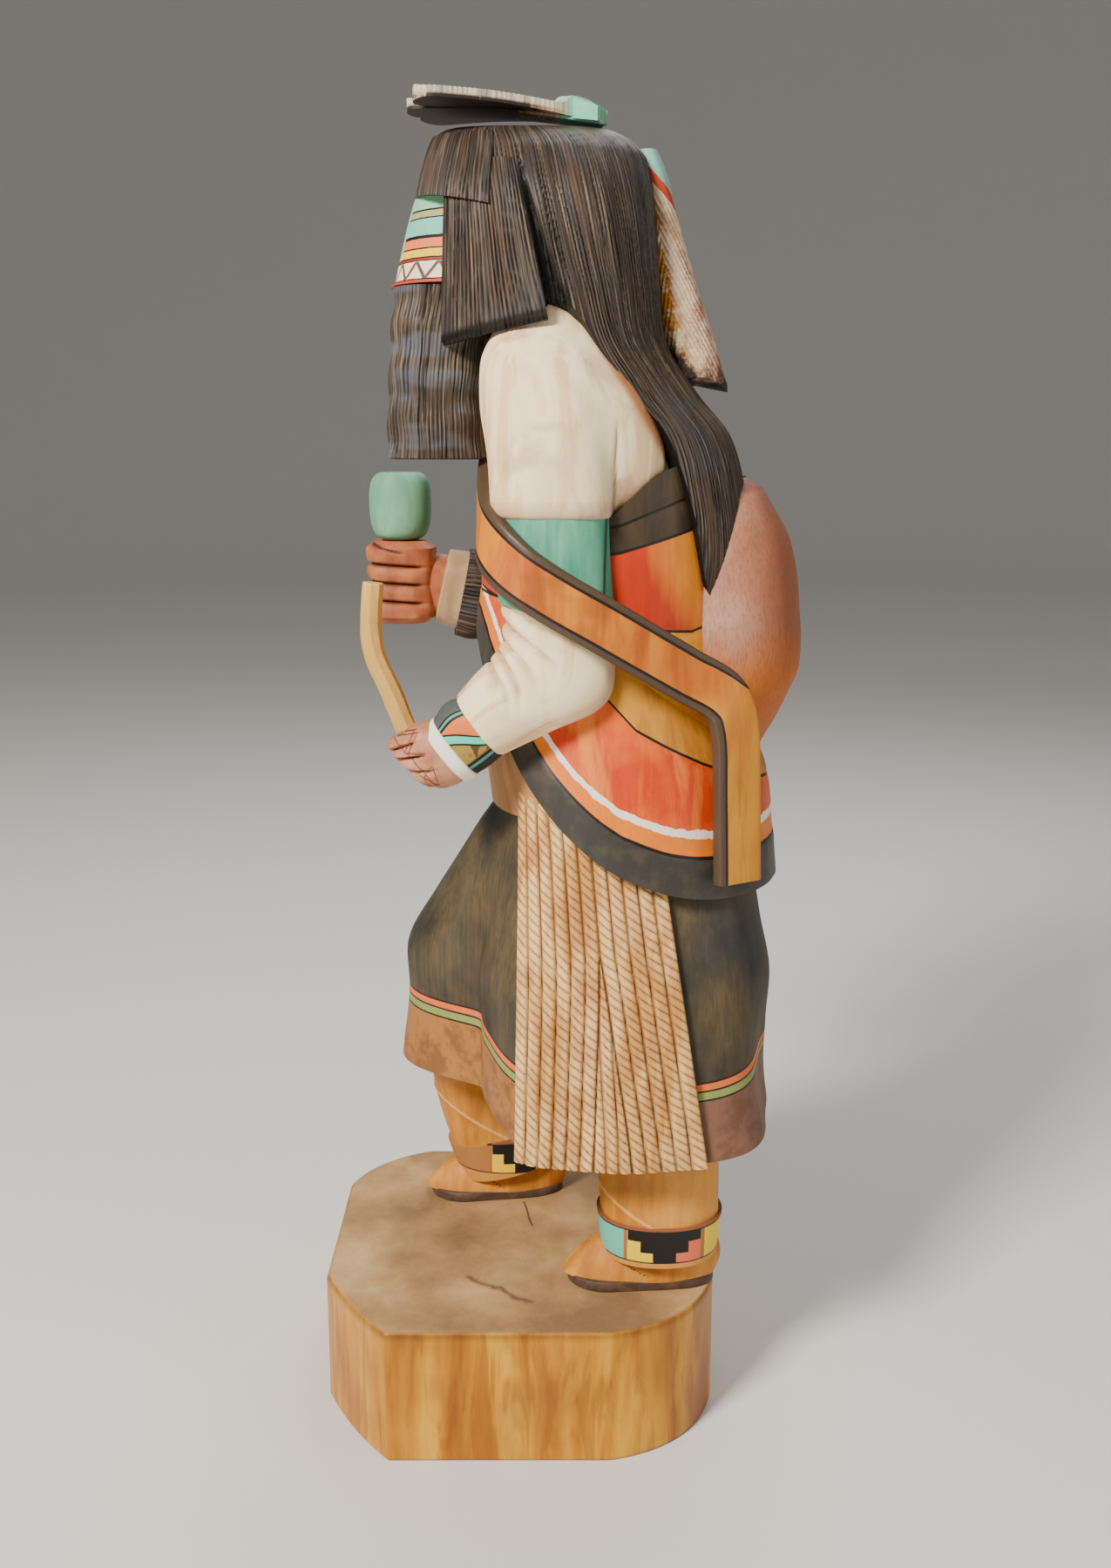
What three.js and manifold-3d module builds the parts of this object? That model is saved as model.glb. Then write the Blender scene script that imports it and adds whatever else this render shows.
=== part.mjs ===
// A carved and painted cottonwood kachina doll standing on its wooden block.
// Millimetres, +Z up. The origin is the middle of the block's underside. The figure faces -Y,
// so its left side is on +X. The left arm holds a bent stick, the right hand a gourd rattle.
import * as THREE from "three";
import { mergeVertices } from "three/addons/utils/BufferGeometryUtils.js";
import Module from "manifold-3d";

const wasm = await Module();
wasm.setup();

// Driving dimensions of the block
const BLOCK_WIDTH = 124; // along X, across the figure
const BLOCK_DEPTH = 124; // along Y, front to back
const BLOCK_HEIGHT = 43.5;
const BLOCK_EDGE = 1.2; // worn edge round the top and the underside
// Each corner is cut off: how far the cut runs along X, how far along Y, and how full its curve is.
// A fullness of 0 is a straight saw cut, and 1 reaches the square corner.
const CORNER_LEFT_FRONT = [34, 22, 0.18];
const CORNER_LEFT_BACK = [34, 34, 0.62];
const CORNER_RIGHT_BACK = [30, 30, 0.5];
const CORNER_RIGHT_FRONT = [27, 27, 0.5];

// Driving dimensions of the figure and of the pieces that are set into it
const FIGURE_HEIGHT = 350.5; // soles to crown, without the feathers
const STICK_RADIUS = 3.1;
const RATTLE_RADIUS = 10.2;
const RATTLE_HEIGHT = 21.6;
const HANDLE_RADIUS = 2.8; // the rattle's handle, inside the right fist
const FEATHER_THICKNESS = 3;
const FIT_GAP = 0.3; // left between a set-in piece and the wood round it

// The figure is drawn in units of 1/350.5 of its own height, so that it keeps its proportions.
const FIGURE_UNITS = 350.5;
const UNIT = FIGURE_HEIGHT / FIGURE_UNITS;
const DEGREE = Math.PI / 180;
const NEARLY_NOTHING = 1e-6;

// A smooth curve through rows of numbers: cubic pieces whose slope at each row is that of its neighbours.
// The first number of a row is the place along the curve, and the others are what is worked out there.
function along(rows, place) {
  const last = rows.length - 1;
  const t = Math.min(Math.max(place, rows[0][0]), rows[last][0]);
  let i = 0;
  while (i < last - 1 && t > rows[i + 1][0]) i += 1;
  const [a, b] = [rows[i], rows[i + 1]];
  const [before, after] = [rows[Math.max(i - 1, 0)], rows[Math.min(i + 2, last)]];
  const span = b[0] - a[0];
  const s = (t - a[0]) / span;
  return a.slice(1).map((start, k) => {
    const end = b[k + 1];
    const leave = ((end - before[k + 1]) / (b[0] - before[0])) * span;
    const arrive = ((after[k + 1] - start) / (after[0] - a[0])) * span;
    return (
      (2 * s ** 3 - 3 * s ** 2 + 1) * start +
      (s ** 3 - 2 * s ** 2 + s) * leave +
      (3 * s ** 2 - 2 * s ** 3) * end +
      (s ** 3 - s ** 2) * arrive
    );
  });
}

const numbered = (rows) => rows.map((row, i) => [i / (rows.length - 1), ...row]);
const rampUp = (value, middle, width) => 1 / (1 + Math.exp((middle - value) / width));

// A point of the unit oval: power 2 is an ellipse, and more is boxier.
function oval(turn, power) {
  const bend = (c) => Math.sign(c) * Math.max(Math.abs(c) - NEARLY_NOTHING, 0) ** (2 / power);
  return [bend(Math.cos(turn)), bend(Math.sin(turn))];
}

// A closed tube of sides by rings. place(turn, rise, reach) gives each corner as [x, y, z]:
// turn is the angle from +X towards +Y, rise runs from 0 to 1, and reach is 0 in the middle of an end.
function tube(sides, rings, place) {
  return placed(new THREE.CylinderGeometry(1, 1, 1, sides, rings), ({ x, y, z }) => {
    const reach = Math.round(Math.hypot(x, z));
    return place(Math.atan2(x, z), y + 0.5, reach);
  });
}

// A closed plate of columns by rows. place(across, up, out) has all three run from 0 to 1, and
// the face at out 1 is the one that shows.
function plate(columns, rows, place) {
  const box = new THREE.BoxGeometry(1, 1, 1, columns, rows, 1);
  return placed(box, ({ x, y, z }) => place(x + 0.5, y + 0.5, z + 0.5));
}

// Moves every corner of a geometry to where place() puts it, and makes the result a solid
function placed(geometry, place) {
  const { position } = geometry.attributes;
  const corner = new THREE.Vector3();
  for (let i = 0; i < position.count; i += 1) {
    corner.fromBufferAttribute(position, i);
    position.setXYZ(i, ...place(corner));
  }
  return solid(geometry);
}

function solid(geometry) {
  geometry.deleteAttribute("normal");
  geometry.deleteAttribute("uv");
  const { attributes, index } = mergeVertices(geometry, 1e-4);
  const mesh = new wasm.Mesh({
    numProp: 3,
    vertProperties: attributes.position.array,
    triVerts: new Uint32Array(index.array),
  });
  return new wasm.Manifold(mesh);
}

// A stack of level ovals. A row is [z, middle x, middle y, half width x, half depth y].
// from(turn) and to(turn) are the heights where the form starts and ends, swell(turn, z) is added
// to both half sizes, and a crowding over 1 draws the rings closer together towards the top.
function stack(rows, { sides, rings, power = 2, from, to, swell = () => 0, crowding = 1 }) {
  const low = from ?? (() => rows[0][0]);
  const high = to ?? (() => rows.at(-1)[0]);
  return tube(sides, rings, (turn, rise, reach) => {
    const z = low(turn) + (high(turn) - low(turn)) * (1 - (1 - rise) ** crowding);
    const [mx, my, ax, ay] = along(rows, z);
    if (reach === 0) return [mx, my, mean(rise === 0 ? low : high)];
    const [c, s] = oval(turn, power);
    const grown = swell(turn, z);
    return [mx + (ax + grown) * c, my + (ay + grown) * s, z];
  });
}

function mean(heights) {
  const turns = Array.from({ length: 24 }, (_, i) => heights((i * 15 - 180) * DEGREE));
  return turns.reduce((sum, z) => sum + z, 0) / turns.length;
}

// A limb of ovals along a path. A row is [x, y, z, half size across, half size outwards], and
// out(share) is the direction that the outward half size points in.
function limb(rows, { sides, rings, power = 2, out }) {
  const path = numbered(rows);
  const middle = (share) => new THREE.Vector3(...along(path, share).slice(0, 3));
  const step = 0.01;
  return tube(sides, rings, (turn, rise, reach) => {
    const [x, y, z, across, outwards] = along(path, rise);
    if (reach === 0) return [x, y, z];
    const ahead = middle(Math.min(rise + step, 1)).sub(middle(Math.max(rise - step, 0))).normalize();
    const up = out(rise).clone();
    up.addScaledVector(ahead, -up.dot(ahead)).normalize();
    const side = up.clone().cross(ahead);
    const [c, s] = oval(turn, power);
    return new THREE.Vector3(x, y, z)
      .addScaledVector(side, c * across)
      .addScaledVector(up, s * outwards)
      .toArray();
  });
}

const towards = (x, y, z) => new THREE.Vector3(x, y, z).normalize();
const always = (direction) => () => direction;
const union = (solids) => solids.reduce((whole, next) => whole.add(next));

// Rows of the forms, in figure units. z is the height above the soles.

// The dress: one oval over the right leg, which steps forward, and one over the left.
const DRESS_OVER_RIGHT_LEG = [
  [40, -21, 7, 40, 50],
  [62, -20, 8, 38, 48.6],
  [82, -19, 9, 37, 47],
  [100, -17, 10, 36, 47.5],
  [117, -13, 12, 36, 40],
  [141, -6, 20, 36, 33.5],
  [155, -3, 28, 36, 33],
  [182, 0, 31, 36, 34],
];
const DRESS_OVER_LEFT_LEG = [
  [40, 6, 37, 49, 47],
  [62, 6, 33.5, 47.5, 45],
  [82, 6, 33, 46.5, 44.5],
  [100, 5, 33, 45.5, 45],
  [117, 4, 33, 43, 42],
  [141, 2, 33, 40, 39],
  [155, 0, 33, 38, 37],
  [182, 0, 31, 36, 35],
];
const DRESS_MIDDLE = [-4, 25];
const DRESS_CREASE = 0.6; // how sharply the two ovals meet, more is sharper
// Soft folds: broad ones across the back and finer ones all round, deeper towards the hem
const BACK_FOLDS = 7;
const BACK_FOLD_DEPTH = 1.6;
const BACK_FOLD_DRIFT = 19; // the height over which a broad fold wanders by one radian
const SIDE_FOLDS = 11;
const SIDE_FOLD_DEPTH = 0.7;
const FOLDS_START = 110;
const FOLDS_FADE = 22;
const HEM_HEIGHT = 49.5;
const HEM_HOLLOW = 8; // how far the wood is cut up under the hem
const HEM_FRONT_RISE = 10.5; // the hem is this much higher in front
const HEM_BACK_RISE = 4.5; // and this much at the back

const TORSO = [
  [150, 0, 31, 38, 36],
  [180, 0, 28, 41, 39],
  [205, 0, 26, 38, 36],
  [235, 0, 25, 37, 33.5],
  [255, 0, 24, 36, 30.5],
  [275, 0, 18, 33, 27],
  [292, 0, 9, 24, 23],
  [306, 0, 4, 20, 20],
];
const SHAWL = [
  [120, -2, 32, 53, 50],
  [137, -1, 31.5, 51.5, 49],
  [161, 0, 30.5, 48.5, 47.5],
  [180, 0, 28, 45, 42.5],
  [205, 0, 26, 42, 38.6],
  [235, 0, 25.5, 42.4, 35.5],
  [262, 0, 25, 40, 33],
];
const SHAWL_LOW = 129.5; // the lower edge at the back
const SHAWL_SWEEP = 76; // how much higher that edge is in front
const SHAWL_SWEEP_POWER = 3.1;
const SHAWL_TOP_FRONT = 236;
const SHAWL_TOP_BACK = 256;
const BELT = [
  [152, 0, 32.5, 44, 41],
  [170, 0, 31, 44.5, 41.5],
  [186, 0, 29, 42, 39],
];

const HEAD = [
  [296, 0, -7, 25, 25],
  [303, 0, -8, 26.5, 28.2],
  [307, 0, -8, 26.5, 27.8],
  [330, 0, -6, 25.5, 23.6],
  [343, 0, -2, 24, 22],
];
const BEARD = [
  [257, 0, -23.4, 22.5, 15.3],
  [275, 0, -23.4, 23.5, 14.6],
  [292, 0, -21.6, 24, 15.4],
  [305, 0, -19, 23.5, 16.8],
];
const HAIR = [
  [205, 0, 30, 31, 37.5],
  [213, 0, 30, 33, 38.8],
  [232, 0, 30, 36, 40.4],
  [248, 0, 28, 37.5, 40.4],
  [263.5, 0, 24, 38, 39.5],
  [275, 0, 16.5, 37.5, 37.5],
  [289, 0, 10, 37, 34.7],
  [306, 0, 8, 37, 34.4],
  [328.5, 0, 6.6, 35, 33.7],
  [341, 0, 6.2, 26.5, 31.4],
  [345.4, 0, 5.2, 20, 29.2],
  [348, 0, 4, 14, 26.6],
  [349.6, 0, 3.4, 9, 23],
  [350.5, 0, 3, 4, 17],
];
const HAIR_POWER = 2.5;
const HAIR_LOCKS = 22;
const HAIR_LOCK_DEPTH = 0.8;

const PACK = [
  [150, 0, 62, 16, 15.5],
  [163, 0, 61, 12.5, 12.3],
  [169.5, 0, 61, 16, 14.4],
  [177, 0, 62, 24, 17.5],
  [186, 0, 63.5, 30, 20],
  [195, 0, 64, 32, 22.9],
  [211, 0, 64, 31, 22.4],
  [232, 0, 64.5, 27, 18.5],
  [244, 0, 65, 21, 11.5],
  [249, 0, 65.5, 15, 7.5],
  [251, 0, 66, 8, 3],
];

// Limbs: [x, y, z, half size across, half size outwards]
const LEFT_SHOULDER = [
  [230, 24, 20, 9, 14],
  [244, 27, 19.5, 13.5, 21.5],
  [258, 28.5, 18, 16.4, 24.6],
  [272, 28, 14.5, 17.2, 23.4],
  [284, 25, 12, 14.5, 19],
  [292, 21, 11, 10.5, 13.5],
  [297, 18, 10.5, 5, 7],
];
const LEFT_UPPER_ARM = [
  [29, 5, 291, 11, 8],
  [32.5, 6.5, 283, 15.6, 12],
  [36.5, 8.6, 267, 16.8, 14.5],
  [38.5, 10.2, 247, 17, 14.8],
  [39, 11.5, 220, 16.8, 14],
  [40, 12.5, 203, 16, 13.5],
  [40, 13, 190, 10, 9],
];
const LEFT_FOREARM = [
  [40, 19, 202, 9, 9],
  [41, 13, 199.5, 14.5, 13],
  [41, 3, 193, 15.2, 13],
  [40, -4, 187, 13, 12],
  [39, -10.5, 181.5, 11, 11],
];
const LEFT_CUFF = [
  [40, -7, 184, 10, 9.6],
  [38.4, -14, 179.4, 11.4, 9.8],
  [37.2, -19.2, 176.4, 11, 9.4],
];
const LEFT_BRACELET = [
  [37.6, -18.4, 176.8, 11.8, 10.2],
  [36.6, -22, 174.8, 11.6, 10],
];
const LEFT_FIST = [
  [36.6, -19.5, 175.6, 8.8, 8],
  [35, -25, 172.4, 11.2, 9.2],
  [33.2, -30.5, 172, 9.8, 9.4],
  [32.2, -35.4, 173.6, 7, 7.8],
  [31.8, -38.4, 175.4, 3.8, 4.6],
];
const mirrored = (rows, column) => rows.map((row) => row.map((n, i) => (i === column ? -n : n)));
const RIGHT_SHOULDER = mirrored(LEFT_SHOULDER, 1);
const RIGHT_UPPER_ARM = mirrored(LEFT_UPPER_ARM, 0);
const RIGHT_FOREARM = [
  [-40, 20, 205, 9, 9],
  [-41, 13, 204.5, 14.5, 13],
  [-40, 2, 207, 14.2, 13],
  [-38, -8, 210, 12.4, 12],
];
const RIGHT_CUFF = [
  [-38, -7, 210, 12.6, 10.4],
  [-37, -14, 211.5, 14.8, 11.6],
  [-36.6, -19.4, 212.6, 14.4, 11.2],
];
const RIGHT_BAND = [
  [-36.4, -18.6, 213.2, 12.8, 10],
  [-36, -25.6, 214.8, 12.2, 9.6],
];
const RIGHT_WRIST = [
  [-36.2, -24, 214.6, 10, 8],
  [-35.4, -33, 215.5, 11, 8.4],
];
const RIGHT_FIST_AT = [-35, -39.2, 216.4];
const FIST_HEIGHT = 26.6;
const FIST_ACROSS = 11.4;
const FINGERS = 4;
const FINGER_GROOVE = 0.9;

const LEFT_LEG = [
  [27, 44.5, 10, 17, 14.5],
  [27, 44.5, 20, 18.6, 15.5],
  [26, 44, 40, 19, 16],
  [24, 43, 66, 20, 17],
];
const RIGHT_LEG = [
  [-34, -5, 10, 16.5, 14.5],
  [-34, -8, 22, 17.6, 15.2],
  [-33, -12, 40, 18.4, 16],
  [-30, -15, 66, 19, 17],
];
const ANKLE_BAND_PROUD = 1.3;
const ANKLE_BAND_HEIGHT = 13.5;
const ANKLE_BAND_FROM = 10.5;

// Feet: the sole's outline runs from heel to toe. Places are [x, y] of the heel.
const FOOT_LENGTH = 51;
const BALL_OF_FOOT = 0.66; // where the foot is widest, as a share of its length from the heel
const FOOT_WIDTH = 22;
const HEEL_WIDTH = 18;
const SOLE_THICKNESS = 3.2;
const INSTEP_HEIGHT = 16;
const LEFT_HEEL = [28, 62];
const RIGHT_HEEL = [-34, 14];

// The strap runs over the right shoulder, across the chest and the left arm, bends at the left hip
// and hangs. A row is [x, y, z, outward x, outward y].
const STRAP = [
  [-30, 10, 290, -0.6, -0.5],
  [-25, -2, 279, -0.4, -1],
  [-10, -7, 262, 0, -1],
  [10, -9.2, 249.5, 0, -1],
  [30, -8.8, 241.5, 0.2, -1],
  [45, -6.6, 235, 0.7, -0.8],
  [53, 0, 227.5, 1, -0.35],
  [55.5, 11, 220, 1, 0],
  [55, 24, 212.5, 1, 0.1],
  [51, 36, 205, 1, 0.25],
  [46.5, 48, 197.5, 1, 0.4],
  [43.6, 59, 190.5, 0.9, 0.5],
  [43, 63, 181, 0.85, 0.55],
  [43.4, 64, 160, 0.85, 0.55],
  [44.6, 64.6, 136, 0.85, 0.55],
];
const STRAP_WIDTH = 15.5;
const STRAP_THICKNESS = 4.4;

const SASH_CORDS = 11;
const SASH_TOP = 162;
const SASH_LOW = 50;
const SASH_FRONT_TOP = 2; // where the sash's front and back edges run, as y
const SASH_FRONT_LOW = 0;
const SASH_BACK_TOP = 39;
const SASH_BACK_LOW = 56;
const SASH_THICKNESS = 3.4;
const SASH_CORD_DEPTH = 1.1;
const SUNK = 3; // how far a layer of cloth or hair reaches into the wood behind it

// Distance from the dress's middle to one of its ovals, in the direction [c, s]
function reachOf([mx, my, ax, ay], c, s, power) {
  const [ox, oy] = [(DRESS_MIDDLE[0] - mx) / ax, (DRESS_MIDDLE[1] - my) / ay];
  const beyond = (r) => Math.abs(ox + (r * c) / ax) ** power + Math.abs(oy + (r * s) / ay) ** power > 1;
  let [inside, outside] = [0, 120];
  for (let i = 0; i < 30; i += 1) {
    const half = (inside + outside) / 2;
    if (beyond(half)) outside = half;
    else inside = half;
  }
  return inside;
}

// The dress's surface: the smooth union of its two ovals, with soft folds that deepen downwards.
function dressPoint(turn, z, proud = 0) {
  const [c, s] = [Math.cos(turn), Math.sin(turn)];
  const right = reachOf(along(DRESS_OVER_RIGHT_LEG, z), c, s, 2);
  const left = reachOf(along(DRESS_OVER_LEFT_LEG, z), c, s, 3);
  const outer = Math.log(Math.exp(DRESS_CREASE * right) + Math.exp(DRESS_CREASE * left)) / DRESS_CREASE;
  const behind = rampUp(Math.sin(turn), 0.35, 0.12);
  const broad = BACK_FOLD_DEPTH * behind * Math.sin(BACK_FOLDS * turn + z / BACK_FOLD_DRIFT);
  const fine = SIDE_FOLD_DEPTH * Math.sin(SIDE_FOLDS * turn);
  const r = outer + rampUp(FOLDS_START, z, FOLDS_FADE) * (broad + fine) + proud;
  return [DRESS_MIDDLE[0] + r * c, DRESS_MIDDLE[1] + r * s, z];
}

const hem = (turn) =>
  HEM_HEIGHT +
  HEM_FRONT_RISE * rampUp(-Math.sin(turn), 0.5, 0.15) +
  HEM_BACK_RISE * rampUp(Math.sin(turn), 0.6, 0.1);

function dress() {
  const top = DRESS_OVER_LEFT_LEG.at(-1)[0];
  return tube(46, 6, (turn, rise, reach) => {
    const low = hem(turn);
    if (reach === 0) return [...DRESS_MIDDLE, rise === 0 ? HEM_HEIGHT + HEM_HOLLOW : top];
    return dressPoint(turn, low + (top - low) * rise);
  });
}

// The turn at which the dress's left side passes a given y
function turnAt(y, z) {
  let [low, high] = [-70 * DEGREE, 80 * DEGREE];
  for (let i = 0; i < 24; i += 1) {
    const half = (low + high) / 2;
    if (dressPoint(half, z)[1] < y) low = half;
    else high = half;
  }
  return low;
}

// The rain sash: a flat hank of twisted cords that hangs down the dress's left side
function sash() {
  const perCord = 2;
  return plate(SASH_CORDS * perCord, 4, (across, up, out) => {
    const z = SASH_LOW + (SASH_TOP - SASH_LOW) * up;
    const front = SASH_FRONT_LOW + (SASH_FRONT_TOP - SASH_FRONT_LOW) * up;
    const back = SASH_BACK_LOW + (SASH_BACK_TOP - SASH_BACK_LOW) * up;
    const height = Math.max(z, hem(0));
    const turn = turnAt(front + (back - front) * across, height);
    const ridge = Math.abs(Math.sin(across * SASH_CORDS * Math.PI));
    const proud = out * (SASH_THICKNESS - SASH_CORD_DEPTH * (1 - ridge)) - (1 - out) * SUNK;
    const [x, y] = dressPoint(turn, height, proud);
    return [x, y, z];
  });
}

const shawlEdge = (turn) => SHAWL_LOW + SHAWL_SWEEP * ((1 - Math.sin(turn)) / 2) ** SHAWL_SWEEP_POWER;
const shawlTop = (turn) =>
  SHAWL_TOP_FRONT + (SHAWL_TOP_BACK - SHAWL_TOP_FRONT) * rampUp(Math.sin(turn), 0.2, 0.15);

// How far round from the middle of the back a turn is, in degrees
const fromBack = (turn) => Math.abs(((turn / DEGREE - 90 + 540) % 360) - 180);

// The hair's lower edge: long down the back, up to the ears at the sides, clear of the face
const HAIR_LOW = 212;
const HAIR_AT_EARS = 300;
const HAIR_OVER_FACE = 334;
const hairEdge = (turn) => {
  const aside = fromBack(turn);
  const toEars = (HAIR_AT_EARS - HAIR_LOW) * rampUp(aside, 65, 4.5);
  const toFace = (HAIR_OVER_FACE - HAIR_AT_EARS) * rampUp(aside, 122, 5);
  return HAIR_LOW + toEars + toFace;
};

function hair(spare = 0) {
  const belowCrown = (z) => rampUp(FIGURE_UNITS - 8, z, 3);
  const swell = (turn, z) => spare + HAIR_LOCK_DEPTH * Math.cos(HAIR_LOCKS * turn) * belowCrown(z);
  const shape = { sides: HAIR_LOCKS * 2, rings: 9, power: HAIR_POWER, crowding: 1.9 };
  return stack(HAIR, { ...shape, from: hairEdge, swell });
}

// A point on the hair's surface at a given y, on the side of the sign given
function hairAt(side, y, z, proud) {
  const [mx, my, ax, ay] = along(HAIR, z);
  const share = Math.min(Math.abs((y - my) / ay), 0.97);
  return [side * (mx + ax * (1 - share ** HAIR_POWER) ** (1 / HAIR_POWER) + proud), y, z];
}

// The lock that hangs over an ear, cut off square below and thicker there
const EAR_LOCK = {
  belowCrown: 12.5,
  lowFront: 288,
  lowBack: 294.5,
  frontTop: -19,
  frontLow: -21,
  backTop: 0,
  backLow: 9.5,
  proudTop: 0.6,
  proudLow: 4.2,
};
function earLock(side) {
  const lock = EAR_LOCK;
  return plate(5, 3, (left, up, out) => {
    const across = side > 0 ? left : 1 - left;
    const low = lock.lowFront + (lock.lowBack - lock.lowFront) * across;
    const z = low + (FIGURE_UNITS - lock.belowCrown - low) * up;
    const front = lock.frontLow + (lock.frontTop - lock.frontLow) * up;
    const back = lock.backLow + (lock.backTop - lock.backLow) * up;
    const proud = out * (lock.proudLow + (lock.proudTop - lock.proudLow) * up) - (1 - out) * SUNK;
    return hairAt(side, front + (back - front) * across, z, proud);
  });
}

// The fringe over the forehead, a thin layer that wraps from ear to ear
const FRINGE = { reach: 73, low: 330, lowAtEars: 325, belowCrown: 3.5, proud: 2.2 };
function fringe() {
  return plate(14, 2, (across, up, out) => {
    const aside = (across * 2 - 1) * FRINGE.reach;
    const turn = (-90 + aside) * DEGREE;
    const low = FRINGE.low + (FRINGE.lowAtEars - FRINGE.low) * (aside / FRINGE.reach) ** 2;
    const z = low + (FIGURE_UNITS - FRINGE.belowCrown - low) * up;
    const [mx, my, ax, ay] = along(HAIR, z);
    const [c, s] = oval(turn, HAIR_POWER);
    const proud = out * FRINGE.proud * (1 - 0.5 * up) - (1 - out) * SUNK;
    return [mx + (ax + proud) * c, my + (ay + proud) * s, z];
  });
}

const BEARD_STRANDS = 16;
const BEARD_STRAND_DEPTH = 0.45;
function beard() {
  const strands = (turn) => BEARD_STRAND_DEPTH * Math.cos(BEARD_STRANDS * turn);
  return stack(BEARD, { sides: BEARD_STRANDS * 2, rings: 3, power: 3.2, swell: strands });
}

// An upright fist with grooves between its fingers, drawn in at its top and underside
const FIST_END = 0.75;
function rightFist() {
  const [fx, fy, fz] = RIGHT_FIST_AT;
  return tube(12, FINGERS * 2, (turn, rise, reach) => {
    const z = fz + FIST_HEIGHT * (rise - 0.5);
    if (reach === 0) return [fx, fy, z];
    const finger = Math.abs(Math.sin(rise * FINGERS * Math.PI));
    const full = Math.min(1, FIST_END + Math.sin(Math.PI * rise));
    const [c, s] = oval(turn, 2.8);
    const size = (FIST_ACROSS - FINGER_GROOVE * (1 - finger) * rampUp(-s, 0, 0.2)) * full;
    return [fx + size * c, fy + size * s, z];
  });
}

// A moccasin: a dark sole, and an upper that rises from the toe to the ankle
function foot([x, y], turnedOut) {
  const outline = new THREE.Shape();
  const [toe, ball] = [-FOOT_LENGTH, -FOOT_LENGTH * BALL_OF_FOOT];
  outline.moveTo(0, 0);
  outline.bezierCurveTo(HEEL_WIDTH * 0.62, 0, HEEL_WIDTH * 0.5, ball * 0.5, FOOT_WIDTH / 2, ball);
  outline.bezierCurveTo(FOOT_WIDTH / 2, toe, -FOOT_WIDTH / 2, toe, -FOOT_WIDTH / 2, ball);
  outline.bezierCurveTo(-HEEL_WIDTH * 0.5, ball * 0.5, -HEEL_WIDTH * 0.62, 0, 0, 0);
  const sole = new THREE.ExtrudeGeometry(outline, {
    depth: SOLE_THICKNESS,
    bevelEnabled: false,
    curveSegments: 6,
  });
  const upper = tube(16, 3, (turn, rise, reach) => {
    const z = SOLE_THICKNESS - 0.4 + rise * (INSTEP_HEIGHT - SOLE_THICKNESS);
    const drawnIn = Math.sqrt(1 - (rise * 0.93) ** 2);
    const halfLength = 10 + (FOOT_LENGTH / 2 - 11.2) * drawnIn;
    const halfWidth = 5 + (FOOT_WIDTH / 2 - 6) * drawnIn;
    const middle = -FOOT_LENGTH * 0.47 + rise * 7;
    if (reach === 0) return [0, middle, z];
    const [c, s] = oval(turn, 2.3);
    return [halfWidth * c, middle + halfLength * s, z];
  });
  return solid(sole)
    .add(upper)
    .rotate([0, 0, turnedOut])
    .translate([x, y, 0]);
}

function leg(rows) {
  const upright = { sides: 18, rings: 2, power: 2.2, out: always(towards(1, 0, 0)) };
  const [shinX, shinY] = [rows[1][0] - rows[0][0], rows[1][1] - rows[0][1]];
  const rise = ANKLE_BAND_HEIGHT / (rows[1][2] - rows[0][2]);
  const proud = ANKLE_BAND_PROUD;
  const [x, y, , across, outwards] = rows[0];
  const bandLow = [x, y, ANKLE_BAND_FROM, across + proud, outwards + proud];
  const bandTop = [
    x + shinX * rise,
    y + shinY * rise,
    ANKLE_BAND_FROM + ANKLE_BAND_HEIGHT,
    rows[1][3] + proud,
    rows[1][4] + proud,
  ];
  const band = limb([bandLow, bandTop], { ...upright, rings: 1 });
  return limb(rows, upright).add(band);
}

function strap() {
  const path = STRAP.map(([x, y, z]) => [x, y, z, STRAP_WIDTH / 2, STRAP_THICKNESS / 2]);
  const facing = numbered(STRAP.map(([, , , ox, oy]) => [ox, oy]));
  const out = (share) => towards(...along(facing, share), 0);
  return limb(path, { sides: 8, rings: 20, power: 6, out });
}

// Everything that is carved from one root: the figure from its soles to its crown
function figureSolid() {
  const upright = always(towards(1, 0, 0));
  const arm = { sides: 12, rings: 5, power: 2.4, out: upright };
  return union([
    leg(LEFT_LEG),
    leg(RIGHT_LEG),
    foot(LEFT_HEEL, 0),
    foot(RIGHT_HEEL, 4),
    dress(),
    sash(),
    stack(BELT, { sides: 20, rings: 2, power: 2.2 }),
    stack(TORSO, { sides: 18, rings: 5, power: 2.2 }),
    stack(SHAWL, { sides: 34, rings: 4, power: 2.1, from: shawlEdge, to: shawlTop }),
    stack(HEAD, { sides: 20, rings: 4, power: 2.2 }),
    beard(),
    hair(),
    earLock(1),
    earLock(-1),
    fringe(),
    stack(PACK, { sides: 18, rings: 9, power: 2.1 }),
    stack(LEFT_SHOULDER, { sides: 14, rings: 5 }),
    stack(RIGHT_SHOULDER, { sides: 14, rings: 5 }),
    limb(LEFT_UPPER_ARM, arm),
    limb(LEFT_FOREARM, arm),
    limb(LEFT_CUFF, { ...arm, rings: 2 }),
    limb(LEFT_BRACELET, { ...arm, rings: 1 }),
    limb(LEFT_FIST, { ...arm, rings: 5 }),
    limb(RIGHT_UPPER_ARM, { ...arm, out: always(towards(-1, 0, 0)) }),
    limb(RIGHT_FOREARM, arm),
    limb(RIGHT_CUFF, { ...arm, rings: 2 }),
    limb(RIGHT_BAND, { ...arm, rings: 1 }),
    limb(RIGHT_WRIST, { ...arm, rings: 2 }),
    rightFist(),
    strap(),
  ]).scale([UNIT, UNIT, UNIT]);
}

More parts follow.
